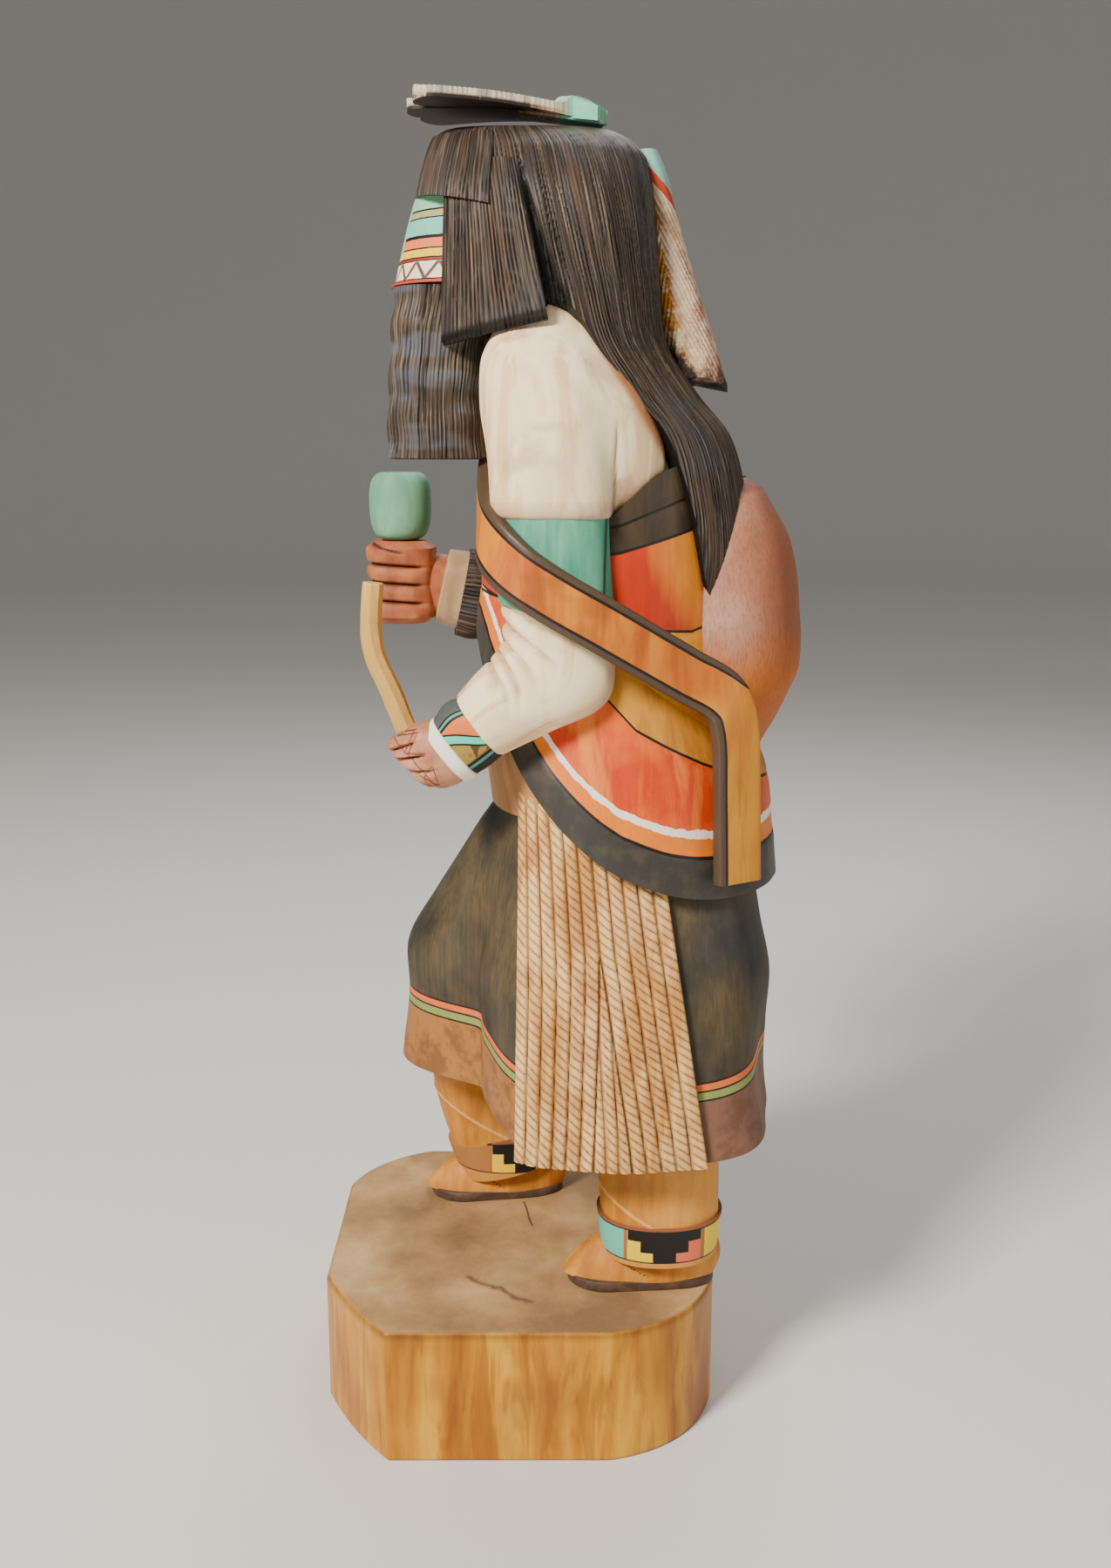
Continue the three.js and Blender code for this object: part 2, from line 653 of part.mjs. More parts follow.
// The stick in the left fist: its lower end is set into the hand, and it bends towards the top.
// Places are in figure units, and the stick's own thickness is a size.
const STICK = [
  [31, -30.6, 174.5],
  [30.3, -33, 180],
  [29.2, -37, 190],
  [28.4, -40.8, 198.5],
  [28, -42.4, 206],
  [28, -42.2, 214],
  [28, -41.5, 221],
];
function stick(spare) {
  const radius = STICK_RADIUS + spare;
  const rows = STICK.map((place) => [...place.map((n) => n * UNIT), radius, radius]);
  return limb(rows, { sides: 8, rings: 9, power: 2, out: always(towards(1, 0, 0)) });
}

// The gourd rattle: a barrel with a handle that the right fist is closed round
function rattle() {
  const half = RATTLE_HEIGHT / 2;
  const profile = new THREE.SplineCurve([
    new THREE.Vector2(HANDLE_RADIUS + 2.4, -half),
    new THREE.Vector2(RATTLE_RADIUS * 0.9, -half * 0.66),
    new THREE.Vector2(RATTLE_RADIUS, 0),
    new THREE.Vector2(RATTLE_RADIUS * 0.93, half * 0.62),
    new THREE.Vector2(RATTLE_RADIUS * 0.62, half),
  ]).getPoints(6);
  const handleLow = -half - FIST_HEIGHT * UNIT;
  const outline = [
    new THREE.Vector2(0, handleLow),
    new THREE.Vector2(HANDLE_RADIUS, handleLow),
    new THREE.Vector2(HANDLE_RADIUS, -half),
    ...profile,
    new THREE.Vector2(0, half),
  ];
  return new THREE.LatheGeometry(outline, 18).rotateX(Math.PI / 2);
}

function handleBore() {
  const bore = new THREE.CylinderGeometry(
    HANDLE_RADIUS + FIT_GAP,
    HANDLE_RADIUS + FIT_GAP,
    FIST_HEIGHT * UNIT + 4,
    20,
  );
  const [x, y, z] = RIGHT_FIST_AT;
  return solid(bore.rotateX(Math.PI / 2).translate(x * UNIT, y * UNIT, z * UNIT));
}

// A feather that lies on the crown: it widens towards its tip and bends down to its bound quill
const CREST_ROOT = [0, 25, 350.4];
const CREST_TIP_RISE = 3.8;
const CREST_LENGTH = 56.5;
const CREST_ROOT_WIDTH = 9;
const CREST_TIP_WIDTH = 14;
const CREST_BINDING = 13; // the painted binding at the quill
function crestFeather(swing, lift) {
  const made = plate(2, 7, (across, up, out) => {
    const bound = rampUp(CREST_BINDING / CREST_LENGTH, up, 0.03);
    const wide = (CREST_ROOT_WIDTH + (CREST_TIP_WIDTH - CREST_ROOT_WIDTH) * up ** 0.7) / 2;
    const x = (across * 2 - 1) * wide * UNIT;
    const rise = CREST_TIP_RISE * Math.sin((Math.PI / 2) * Math.min(1, up * 1.25)) * UNIT;
    const thick = FEATHER_THICKNESS * (1 + 0.9 * bound);
    const crown = 0.6 * (1 - (across * 2 - 1) ** 2);
    return [-x, -up * CREST_LENGTH * UNIT, rise + FIT_GAP + out * (thick + crown)];
  });
  const [x, y, z] = CREST_ROOT;
  return made.rotate([0, 0, swing]).translate([x * UNIT - swing * 0.16, y * UNIT, (z + lift) * UNIT]);
}

// The plume that hangs down the back of the hair, broader and thicker towards its cut end
const PLUME = [
  [276, 0, 54, 12, 9.6],
  [290, 0, 50.5, 12, 8.6],
  [306, 0, 46.5, 11.5, 7],
  [327, 0, 42, 9, 4.8],
  [337, 0, 40, 7.5, 4.2],
  [343.8, 0, 38.2, 6.5, 3],
];
const PLUME_TIP_CURVE = 4; // the cut end hangs this much lower in its middle
function plume() {
  const tip = (turn) => PLUME[0][0] + PLUME_TIP_CURVE * Math.cos(turn) ** 2;
  const whole = stack(PLUME, { sides: 16, rings: 6, power: 2.4, from: tip }).scale([UNIT, UNIT, UNIT]);
  return whole.subtract(hair(FIT_GAP / UNIT).scale([UNIT, UNIT, UNIT]));
}

function block() {
  const [w, d] = [BLOCK_WIDTH / 2, BLOCK_DEPTH / 2];
  const corners = [
    [w, -d, CORNER_LEFT_FRONT, true],
    [w, d, CORNER_LEFT_BACK, false],
    [-w, d, CORNER_RIGHT_BACK, true],
    [-w, -d, CORNER_RIGHT_FRONT, false],
  ];
  const outline = new THREE.Shape();
  corners.forEach(([x, y, [cutX, cutY, fullness], alongXFirst], i) => {
    const onFront = [x - Math.sign(x) * cutX, y];
    const onSide = [x, y - Math.sign(y) * cutY];
    const [start, end] = alongXFirst ? [onFront, onSide] : [onSide, onFront];
    const middle = [(start[0] + end[0]) / 2, (start[1] + end[1]) / 2];
    const bend = middle.map((n, k) => n + ([x, y][k] - n) * fullness);
    if (i === 0) outline.moveTo(...start);
    else outline.lineTo(...start);
    outline.quadraticCurveTo(...bend, ...end);
  });
  return new THREE.ExtrudeGeometry(outline, {
    depth: BLOCK_HEIGHT - 2 * BLOCK_EDGE,
    bevelThickness: BLOCK_EDGE,
    bevelSize: BLOCK_EDGE,
    bevelOffset: -BLOCK_EDGE,
    bevelSegments: 2,
    curveSegments: 5,
  }).translate(0, 0, BLOCK_EDGE);
}

function geometryOf(manifold) {
  const { numProp, vertProperties, triVerts } = manifold.getMesh();
  const places = new Float32Array((vertProperties.length / numProp) * 3);
  for (let i = 0; i < places.length; i += 1) {
    places[i] = vertProperties[Math.floor(i / 3) * numProp + (i % 3)];
  }
  const geometry = new THREE.BufferGeometry();
  geometry.setAttribute("position", new THREE.BufferAttribute(places, 3));
  geometry.setIndex(new THREE.BufferAttribute(new Uint32Array(triVerts), 1));
  geometry.computeVertexNormals();
  return geometry;
}

function piece(name, geometry, color, roughness = 0.7) {
  const mesh = new THREE.Mesh(geometry, new THREE.MeshStandardMaterial({ color, roughness, metalness: 0 }));
  mesh.name = name;
  return mesh;
}

// The three crest feathers: how far each is swung round, and how much it is lifted
const CREST = [
  [20, 0.5],
  [0, 0],
  [-20, 0.5],
];
const crest = union(CREST.map(([swing, lift]) => crestFeather(swing, lift)));

const doll = new THREE.Group();
doll.name = "kachina_doll";

const figure = new THREE.Group();
figure.position.z = BLOCK_HEIGHT;

// Corners closer together than this become one
const FINEST_DETAIL = 0.02;
const carved = figureSolid().subtract(stick(FIT_GAP)).subtract(handleBore()).simplify(FINEST_DETAIL);
figure.add(piece("figure", geometryOf(carved), 0x5a4a3c));
figure.add(piece("crook_stick", geometryOf(stick(0)), 0xd8a850, 0.6));

const rattleMesh = piece("rattle", rattle(), 0x5f9a80, 0.55);
rattleMesh.position.set(
  RIGHT_FIST_AT[0] * UNIT,
  RIGHT_FIST_AT[1] * UNIT,
  (RIGHT_FIST_AT[2] + FIST_HEIGHT / 2) * UNIT + FIT_GAP + RATTLE_HEIGHT / 2,
);
figure.add(rattleMesh);

figure.add(piece("crest_feathers", geometryOf(crest), 0xb8a890));
figure.add(piece("back_plume", geometryOf(plume()), 0xd8c4ae));

doll.add(piece("base_block", block(), 0xb8792f));
doll.add(figure);

export default doll;
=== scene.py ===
import math

import bpy
import numpy as np
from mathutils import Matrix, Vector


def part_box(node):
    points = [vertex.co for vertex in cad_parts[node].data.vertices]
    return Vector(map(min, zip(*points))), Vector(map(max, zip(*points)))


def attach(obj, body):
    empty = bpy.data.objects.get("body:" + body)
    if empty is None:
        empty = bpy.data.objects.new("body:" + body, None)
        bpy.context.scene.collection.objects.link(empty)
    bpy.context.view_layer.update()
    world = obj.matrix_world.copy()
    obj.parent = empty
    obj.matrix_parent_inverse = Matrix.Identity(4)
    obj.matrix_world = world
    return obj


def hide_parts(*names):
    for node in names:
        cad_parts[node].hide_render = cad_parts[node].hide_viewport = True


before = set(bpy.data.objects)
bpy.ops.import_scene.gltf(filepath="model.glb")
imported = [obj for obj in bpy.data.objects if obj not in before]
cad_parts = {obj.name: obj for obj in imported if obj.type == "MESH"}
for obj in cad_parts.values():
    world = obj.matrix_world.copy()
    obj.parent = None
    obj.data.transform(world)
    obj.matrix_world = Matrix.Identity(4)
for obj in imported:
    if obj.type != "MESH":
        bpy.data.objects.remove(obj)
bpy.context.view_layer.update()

MM = 0.001
DEGREE = math.pi / 180
BLOCK_LOW, BLOCK_HIGH = (np.array(corner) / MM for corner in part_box("base_block"))
SOLES = BLOCK_HIGH[2]  # the figure stands this high


# Curves, ovals and random hills


def along(rows, place):
    """Cubic pieces through rows of numbers, each row's slope being that of its two neighbours.
    The first column is the place along the curve, and the others are what is worked out there."""
    rows = np.asarray(rows, float)
    knots, values = rows[:, 0], rows[:, 1:]
    t = np.clip(place, knots[0], knots[-1])
    i = np.clip(np.searchsorted(knots, t, side="right") - 1, 0, len(knots) - 2)
    before, after = np.maximum(i - 1, 0), np.minimum(i + 2, len(knots) - 1)
    span = knots[i + 1] - knots[i]
    s = ((t - knots[i]) / span)[..., None]
    start, end = values[i], values[i + 1]
    leave = (end - values[before]) * (span / (knots[i + 1] - knots[before]))[..., None]
    arrive = (values[after] - start) * (span / (knots[after] - knots[i]))[..., None]
    return (
        (2 * s**3 - 3 * s**2 + 1) * start
        + (s**3 - 2 * s**2 + s) * leave
        + (3 * s**2 - 2 * s**3) * end
        + (s**3 - s**2) * arrive
    )


def numbered(rows):
    return np.column_stack([np.linspace(0, 1, len(rows)), rows])


def ramp_up(value, middle, width):
    """The logistic curve: 0 below the middle and 1 above it, eased over a few widths."""
    return 1 / (1 + np.exp(np.clip((middle - value) / width, -60, 60)))


def bell(distance, width):
    return np.exp(-((distance / width) ** 2))


def unit(vectors):
    return vectors / np.linalg.norm(vectors, axis=-1, keepdims=True)


def oval(turn, power):
    """A point of the unit oval |x|^power + |y|^power = 1, where power 2 is an ellipse."""
    c, s = np.cos(turn), np.sin(turn)
    return np.sign(c) * np.abs(c) ** (2 / power), np.sign(s) * np.abs(s) ** (2 / power)


def run(points):
    """How far along a line of points each one lies."""
    return np.concatenate([[0], np.linalg.norm(np.diff(points, axis=0), axis=1).cumsum()])


def evenly(outline, count):
    """A closed flat outline as points equally far apart, and how far round each one is."""
    far = run(outline)
    place = np.linspace(0, far[-1], count + 1)
    return np.stack([np.interp(place, far, outline[:, k]) for k in (0, 1)], -1)[:-1], place


def turned(degrees):
    """The matrix that turns row vectors about Z, anticlockwise as seen from above."""
    c, s = math.cos(degrees * DEGREE), math.sin(degrees * DEGREE)
    return np.array([[c, s, 0], [-s, c, 0], [0, 0, 1]])


def even_turns(sides, across, deep, power, start=-math.pi):
    """Turns whose points are equally far apart round the oval, and how far round each one is."""
    fine = np.linspace(start, start + 2 * math.pi, 7201)
    c, s = oval(fine, power)
    far = run(np.stack([c * across, s * deep], -1))
    place = np.linspace(0, far[-1], sides + 1)
    return np.interp(place, far, fine)[:-1], place


def hills(u, v, seed, wrap=64):
    """Smooth random heights from -1 to 1, one for each whole u and v, repeating every wrap in u."""
    table = np.random.default_rng(seed).uniform(-1, 1, (wrap, 64))
    iu, iv = np.floor(u).astype(int), np.floor(v).astype(int)
    fu, fv = u - iu, v - iv
    fu, fv = fu * fu * (3 - 2 * fu), fv * fv * (3 - 2 * fv)
    a, b = table[iu % wrap, iv % 64], table[(iu + 1) % wrap, iv % 64]
    c, d = table[iu % wrap, (iv + 1) % 64], table[(iu + 1) % wrap, (iv + 1) % 64]
    return (a + (b - a) * fu) * (1 - fv) + (c + (d - c) * fu) * fv


# Meshes: a form is a dict of points, quads, tris, their UVs, and marks (one number per point)

ROUNDED = ((0.02, 0.3), (0.07, 0.55), (0.4, 0.65))
SQUARE = ((0.006, 0.05), (0.4, 0.05))


def corners(grid):
    """The four corners of every cell of a grid, in order round it."""
    return np.stack([grid[:-1, :-1], grid[:-1, 1:], grid[1:, 1:], grid[1:, :-1]], 2)


def tube(rings, uv, marks=None, low=SQUARE, high=SQUARE):
    """Closes a grid of rings into a body. Each end goes on with rings that are drawn in to its middle
    by a share and pushed out by a length, and closes in a point. The mark "cut" is 1 on the ends."""
    sides = rings.shape[1]
    marks = {key: np.broadcast_to(value, rings.shape[:2]) for key, value in (marks or {}).items()}
    cut, poles = np.zeros(rings.shape[:2]), []
    for end, beyond, steps in ((0, 1, low), (-1, -2, high)):
        add = lambda whole, more: np.concatenate([whole, more] if end else [more[::-1], whole])
        edge, middle = rings[end], rings[end].mean(0)
        axis = unit(middle - rings[beyond].mean(0))
        poles.append(middle + axis * steps[-1][1])
        away = np.array([[0, (share * 10 + 0.1) * (1 if end else -1)] for share, _ in steps])
        marks = {key: add(value, np.repeat(value[end][None], len(steps), 0)) for key, value in marks.items()}
        cut = add(cut, np.ones((len(steps), sides)))
        uv = add(uv, uv[end] + away[:, None])
        rings = add(rings, np.array([edge + (middle - edge) * share + axis * push for share, push in steps]))
    index = np.arange(rings.shape[0] * sides).reshape(-1, sides)
    index = np.concatenate([index, index[:, :1]], 1)
    fans, fan_uv = [], []
    for end, first, second in ((0, slice(1, None), slice(None, -1)), (-1, slice(None, -1), slice(1, None))):
        pole = np.full(sides, index[-1, 0] + sides + abs(end))
        fans.append(np.stack([index[end, first], index[end, second], pole], -1))
        fan_uv.append(np.stack([uv[end, first], uv[end, second], uv[end, second]], 1))
    ends = lambda value: [value.ravel(), [value[0].mean(), value[-1].mean()]]
    return {
        "points": np.concatenate([rings.reshape(-1, 3), poles]),
        "quads": corners(index).reshape(-1, 4),
        "tris": np.concatenate(fans),
        "quad_uv": corners(uv).reshape(-1, 4, 2),
        "tri_uv": np.concatenate(fan_uv),
        "marks": {key: np.concatenate(ends(value)) for key, value in {**marks, "cut": cut}.items()},
    }


def layer(front, back, uv, marks=None, skip=6):
    """A strip of cloth or hair: a fine outer grid over an inner one that keeps every skip-th column,
    closed at its sides, and at its ends by strips of triangles from each to the nearest inner point."""
    rows, columns = front.shape[:2]
    kept = np.unique(np.append(np.arange(0, columns, skip), columns - 1))
    order = np.concatenate([np.arange(columns), kept[::-1]])
    rings = np.concatenate([front, back[:, kept[::-1]]], 1)
    sides = len(order)
    index = np.arange(rows * sides).reshape(rows, sides)
    closed = np.concatenate([index, index[:, :1]], 1)
    ring_uv = np.concatenate([uv[:, order], uv[:, :1]], 1)
    near = np.rint(np.arange(columns) * (len(kept) - 1) / (columns - 1)).astype(int)
    step = np.nonzero(np.diff(near))[0]
    caps, cap_uv = [], []
    for row, way in ((0, 1), (rows - 1, -1)):
        outer, inner = index[row, :columns], index[row, columns:][::-1]
        strips = np.concatenate([
            np.stack([outer[1:], outer[:-1], inner[near[:-1]]], -1),
            np.stack([inner[near[step]], inner[near[step + 1]], outer[step + 1]], -1),
        ])
        caps.append(strips[:, ::way])
        cap_uv.append(ring_uv[row][caps[-1] - row * sides])
    all_marks = {"cut": (np.arange(sides) >= columns) * np.ones((rows, 1))}
    for key, value in (marks or {}).items():
        all_marks[key] = np.broadcast_to(value, (rows, columns))[:, order]
    return {
        "points": rings.reshape(-1, 3),
        "quads": corners(closed).reshape(-1, 4),
        "tris": np.concatenate(caps),
        "quad_uv": corners(ring_uv).reshape(-1, 4, 2),
        "tri_uv": np.concatenate(cap_uv),
        "marks": {key: value.ravel() for key, value in all_marks.items()},
    }


def outward(form):
    """Turns every face round if the form's volume, summed from its faces, is negative."""
    p, q = form["points"], form["quads"]
    faces = np.concatenate([q[:, [0, 1, 2]], q[:, [0, 2, 3]], form["tris"]])
    a, b, c = p[faces[:, 0]], p[faces[:, 1]], p[faces[:, 2]]
    if np.einsum("ij,ij->i", a, np.cross(b, c)).sum() < 0:
        for key in ("quads", "tris", "quad_uv", "tri_uv"):
            form[key] = form[key][:, ::-1]
    return form


def joined(forms):
    """Several forms as one, each keeping its own points."""
    starts = np.cumsum([0] + [len(f["points"]) for f in forms])
    keys = sorted({key for f in forms for key in f["marks"]})
    mark = lambda f, key: f["marks"].get(key, np.zeros(len(f["points"])))
    whole = {key: np.concatenate([f[key] for f in forms]) for key in ("points", "quad_uv", "tri_uv")}
    for key in ("quads", "tris"):
        whole[key] = np.concatenate([f[key] + start for f, start in zip(forms, starts)])
    whole["marks"] = {key: np.concatenate([mark(f, key) for f in forms]) for key in keys}
    return whole


def make(name, material, slot, *forms, replaces="figure", sharp=40, lift=None):
    """Puts forms into one mesh object that rides on the body and stands for a node of the model."""
    form = joined([outward(f) for f in forms])
    mesh = bpy.data.meshes.new(name)
    places = (form["points"] + [0, 0, SOLES if lift is None else lift]) * MM
    mesh.vertices.add(len(places))
    mesh.vertices.foreach_set("co", places.ravel())
    loops = np.concatenate([form["quads"].ravel(), form["tris"].ravel()]).astype(np.int32)
    mesh.loops.add(len(loops))
    mesh.loops.foreach_set("vertex_index", loops)
    quads, tris = len(form["quads"]), len(form["tris"])
    mesh.polygons.add(quads + tris)
    starts = np.concatenate([np.arange(quads) * 4, quads * 4 + np.arange(tris) * 3])
    mesh.polygons.foreach_set("loop_start", starts.astype(np.int32))
    corner_uv = np.concatenate([form["quad_uv"].ravel(), form["tri_uv"].ravel()])
    mesh.uv_layers.new(name="surface").data.foreach_set("uv", corner_uv)
    for key, value in form["marks"].items():
        mesh.attributes.new(key, "FLOAT", "POINT").data.foreach_set("value", value)
    mesh.update(calc_edges=True)
    mesh.shade_smooth()
    mesh.set_sharp_from_angle(angle=sharp * DEGREE)
    mesh.materials.append(material)
    piece = bpy.data.objects.new(name, mesh)
    bpy.context.collection.objects.link(piece)
    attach(piece, "root")
    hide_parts(replaces)
    return piece


# Surfaces


def stack(rows, rings, sides, power=2.0, low=None, high=None, swell=None, start=-math.pi, crowding=1.0):
    """Level ovals one above the other: rows give the middle and half sizes at each height. low(turn)
    and high(turn) are the ends, swell(turn, z, far round) is added to both half sizes. Gives the grid,
    its UV (millimetres round, height), and the turns and heights."""
    rows = np.asarray(rows, float)
    widest = rows[np.argmax(rows[:, 3] + rows[:, 4])]
    turn, far = even_turns(sides, widest[3], widest[4], power, start)
    first = low(turn) if low else np.full(sides, rows[0, 0])
    last = high(turn) if high else np.full(sides, rows[-1, 0])
    rise = 1 - (1 - np.linspace(0, 1, rings)[:, None]) ** crowding
    z = first + (last - first) * rise
    turns = np.broadcast_to(turn, z.shape)
    place = along(rows, z)
    c, s = oval(turn, power)
    grown = swell(turns, z, np.broadcast_to(far[:-1], z.shape)) if swell else 0.0
    x = place[..., 0] + (place[..., 2] + grown) * c
    y = place[..., 1] + (place[..., 3] + grown) * s
    grid = np.stack([x, y, z], -1)
    return grid, around_uv(far, z), turns, z


def around_uv(far, v):
    """UV of a closed grid: millimetres round, with the last column closing the ring, and v."""
    closed = np.concatenate([v, v[:, :1]], 1)
    return np.stack([np.broadcast_to(far, closed.shape), closed], -1)


def reach(place, middle, c, s, power):
    """How far an oval's edge is from a point inside it in the direction (c, s), by halving."""
    ax, ay = place[..., 2], place[..., 3]
    ox, oy = (middle[0] - place[..., 0]) / ax, (middle[1] - place[..., 1]) / ay
    inside, outside = np.zeros(ax.shape), np.full(ax.shape, 120.0)
    for _ in range(26):
        half = (inside + outside) / 2
        beyond = np.abs(ox + half * c / ax) ** power + np.abs(oy + half * s / ay) ** power > 1
        inside, outside = np.where(beyond, inside, half), np.where(beyond, half, outside)
    return inside


def skin(ovals, middle, turn, z, crease):
    """The smooth union of stacked ovals, seen from one upright axis: the logarithm of the sum of the
    exponentials of their reaches, where a larger crease is a sharper fold between them."""
    c, s = np.cos(turn), np.sin(turn)
    total = sum(np.exp(crease * reach(along(rows, z), middle, c, s, power)) for rows, power in ovals)
    return np.log(total) / crease


def around(middle, turn, z, r):
    return np.stack([middle[0] + r * np.cos(turn), middle[1] + r * np.sin(turn), z], -1)


def limb(rows, rings, sides, power=2.0, out=(1, 0, 0), swell=None, start=-math.pi):
    """Ovals along a curved path: a row is the middle, the half size across and the half size outwards,
    and out is the outward direction, one for the whole path or one for each row."""
    path = numbered(rows)
    rise = np.linspace(0, 1, rings)
    here = along(path, rise)
    ahead = unit((along(path, np.minimum(rise + 0.01, 1)) - along(path, np.maximum(rise - 0.01, 0)))[:, :3])
    out = np.asarray(out, float)
    facing = along(numbered(out), rise) if out.ndim == 2 else np.broadcast_to(out, (rings, 3))
    facing = unit(facing - ahead * (facing * ahead).sum(-1, keepdims=True))
    side = np.cross(facing, ahead)
    length = run(here[:, :3])
    turn, far = even_turns(sides, here[:, 3].max(), here[:, 4].max(), power, start)
    c, s = oval(turn, power)
    turns, v = np.broadcast_to(turn, (rings, sides)), np.broadcast_to(length[:, None], (rings, sides))
    grown = swell(turns, v, np.broadcast_to(far[:-1], v.shape)) if swell else 0.0
    across, outwards = (here[:, 3:4] + grown) * c, (here[:, 4:5] + grown) * s
    grid = here[:, None, :3] + side[:, None] * across[..., None] + facing[:, None] * outwards[..., None]
    return grid, around_uv(far, v), turns, v


def ribbed(rows, rings, sides, power=2.0, swell=None):
    """Ovals between two outlines seen from the side: a row is the lower point (y, z), the upper
    point (y, z), the middle x and the half width along x."""
    here = along(numbered(rows), np.linspace(0, 1, rings))
    below, above = here[:, 0:2], here[:, 2:4]
    middle, half = (below + above) / 2, (above - below) / 2
    tall = np.linalg.norm(half, axis=1)
    turn, far = even_turns(sides, here[:, 5].max(), tall.max(), power)
    c, s = oval(turn, power)
    length = run(middle)
    turns, v = np.broadcast_to(turn, (rings, sides)), np.broadcast_to(length[:, None], (rings, sides))
    grown = swell(turns, v, np.broadcast_to(far[:-1], v.shape)) if swell else np.zeros(v.shape)
    x = here[:, 4:5] + (here[:, 5:6] + grown) * c
    share = s * (1 + grown / tall[:, None])
    yz = middle[:, None] + half[:, None] * share[..., None]
    grid = np.concatenate([x[..., None], yz], -1)
    return grid, around_uv(far, v), turns, v


def strands(far, v, pitch, depth, seed, wander=9.0):
    """Combed grooves a pitch apart that wander a little: V-shaped cuts whose depth changes slowly.
    Gives the push (0 or less) and how deep in a groove each point is, from 0 to 1."""
    phase = far / pitch + 0.5 * hills(far / wander, v / 26, seed) + 0.25 * hills(far / 2.5, v / 12, seed + 1)
    cut = 1 - np.abs(np.sin(math.pi * phase))
    strength = 0.75 + 0.55 * hills(far / (pitch * 1.3), v / 22, seed + 2)
    return -depth * cut**1.3 * strength, np.clip(cut * (0.55 + 0.6 * strength), 0, 1)


def carved(far, v, size, depth, seed):
    """Broad knife marks: shallow random hills, flattened, as wide as size."""
    broad, fine = hills(far / size, v / (size * 1.6), seed), hills(far / size * 2.3, v / size, seed + 5)
    return depth * (broad + 0.5 * fine)


# Rows of the forms, as in the solids, save that shoulders and upper arms end lower, under the hair.
# A level row is the height above the soles, the middle x and y, and the half sizes across and deep.

DRESS_OVER_RIGHT_LEG = [
    [40, -21, 7, 40, 50], [62, -20, 8, 38, 48.6], [82, -19, 9, 37, 47], [100, -17, 10, 36, 47.5],
    [117, -13, 12, 36, 40], [141, -6, 20, 36, 33.5], [155, -3, 28, 36, 33], [182, 0, 31, 36, 34],
]
DRESS_OVER_LEFT_LEG = [
    [40, 6, 37, 49, 47], [62, 6, 33.5, 47.5, 45], [82, 6, 33, 46.5, 44.5], [100, 5, 33, 45.5, 45],
    [117, 4, 33, 43, 42], [141, 2, 33, 40, 39], [155, 0, 33, 38, 37], [182, 0, 31, 36, 35],
]
DRESS_MIDDLE = (-4, 25)
DRESS_CREASE = 0.6
DRESS_TOP = 182
STRIPES_UP = 25.2  # the painted stripes over the hem
SHAWL = [
    [120, -2, 32, 53, 50], [137, -1, 31.5, 51.5, 49], [161, 0, 30.5, 48.5, 47.5], [180, 0, 28, 45, 42.5],
    [205, 0, 26, 42, 38.6], [235, 0, 25.5, 42.4, 35.5], [262, 0, 25, 40, 33],
]
TORSO = [
    [150, 0, 31, 38, 36], [180, 0, 28, 41, 39], [205, 0, 26, 38, 36], [235, 0, 25, 37, 33.5],
    [255, 0, 24, 36, 30.5], [275, 0, 18, 33, 27], [292, 0, 9, 24, 23], [306, 0, 4, 20, 20],
]
BELT = [[152, 0, 32.5, 44, 41], [170, 0, 31, 44.5, 41.5], [186, 0, 29, 42, 39]]
HEAD = [
    [296, 0, -7, 25, 25], [303, 0, -8, 26.5, 28.2], [307, 0, -8, 26.5, 27.8], [330, 0, -6, 25.5, 23.6],
    [343, 0, -2, 24, 22],
]
BEARD = [
    [257, 0, -23.4, 22.5, 15.3], [275, 0, -23.4, 23.5, 14.6], [292, 0, -21.6, 24, 15.4],
    [305, 0, -19, 23.5, 16.8],
]
HAIR = [
    [205, 0, 30, 31, 37.5], [213, 0, 30, 33, 38.8], [232, 0, 30, 36, 40.4], [248, 0, 28, 37.5, 40.4],
    [263.5, 0, 24, 38, 39.5], [275, 0, 16.5, 37.5, 37.5], [289, 0, 10, 37, 34.7], [306, 0, 8, 37, 34.4],
    [328.5, 0, 6.6, 35, 33.7], [341, 0, 6.2, 26.5, 31.4], [345.4, 0, 5.2, 20, 29.2],
    [348, 0, 4, 14, 26.6], [349.6, 0, 3.4, 9, 23], [350.5, 0, 3, 4, 17],
]
HAIR_POWER = 2.5
PACK = [
    [150, 0, 62, 16, 15.5], [163, 0, 61, 12.5, 12.3], [169.5, 0, 61, 16, 14.4], [177, 0, 62, 24, 17.5],
    [186, 0, 63.5, 30, 20], [195, 0, 64, 32, 22.9], [211, 0, 64, 31, 22.4], [232, 0, 64.5, 27, 18.5],
    [244, 0, 65, 21, 11.5], [249, 0, 65.5, 15, 7.5], [251, 0, 66, 8, 3],
]
SHOULDER = [
    [230, 24, 20, 9, 14], [244, 27, 19.5, 13.5, 21.5], [258, 28.5, 18, 16.4, 24.6],
    [272, 28, 14.5, 17.2, 23.4], [284, 25, 12, 14.5, 19], [292, 23, 11.4, 12.6, 13.6],
    [297.5, 22, 8, 11.5, 10], [303, 21, 4, 10, 6],
]
UPPER_ARM = [
    [190, 40, 13, 9, 10], [203, 40, 12.5, 13.5, 16], [220, 39, 11.5, 14, 16.8], [247, 38.5, 10.2, 14.8, 17],
    [267, 36.5, 8.6, 14.5, 16.8], [283, 32.5, 6.5, 12, 15.6], [291, 29, 5, 8, 11], [297, 26, 4, 4, 5.5],
    [303, 24, 4, 1.5, 2.5],
]
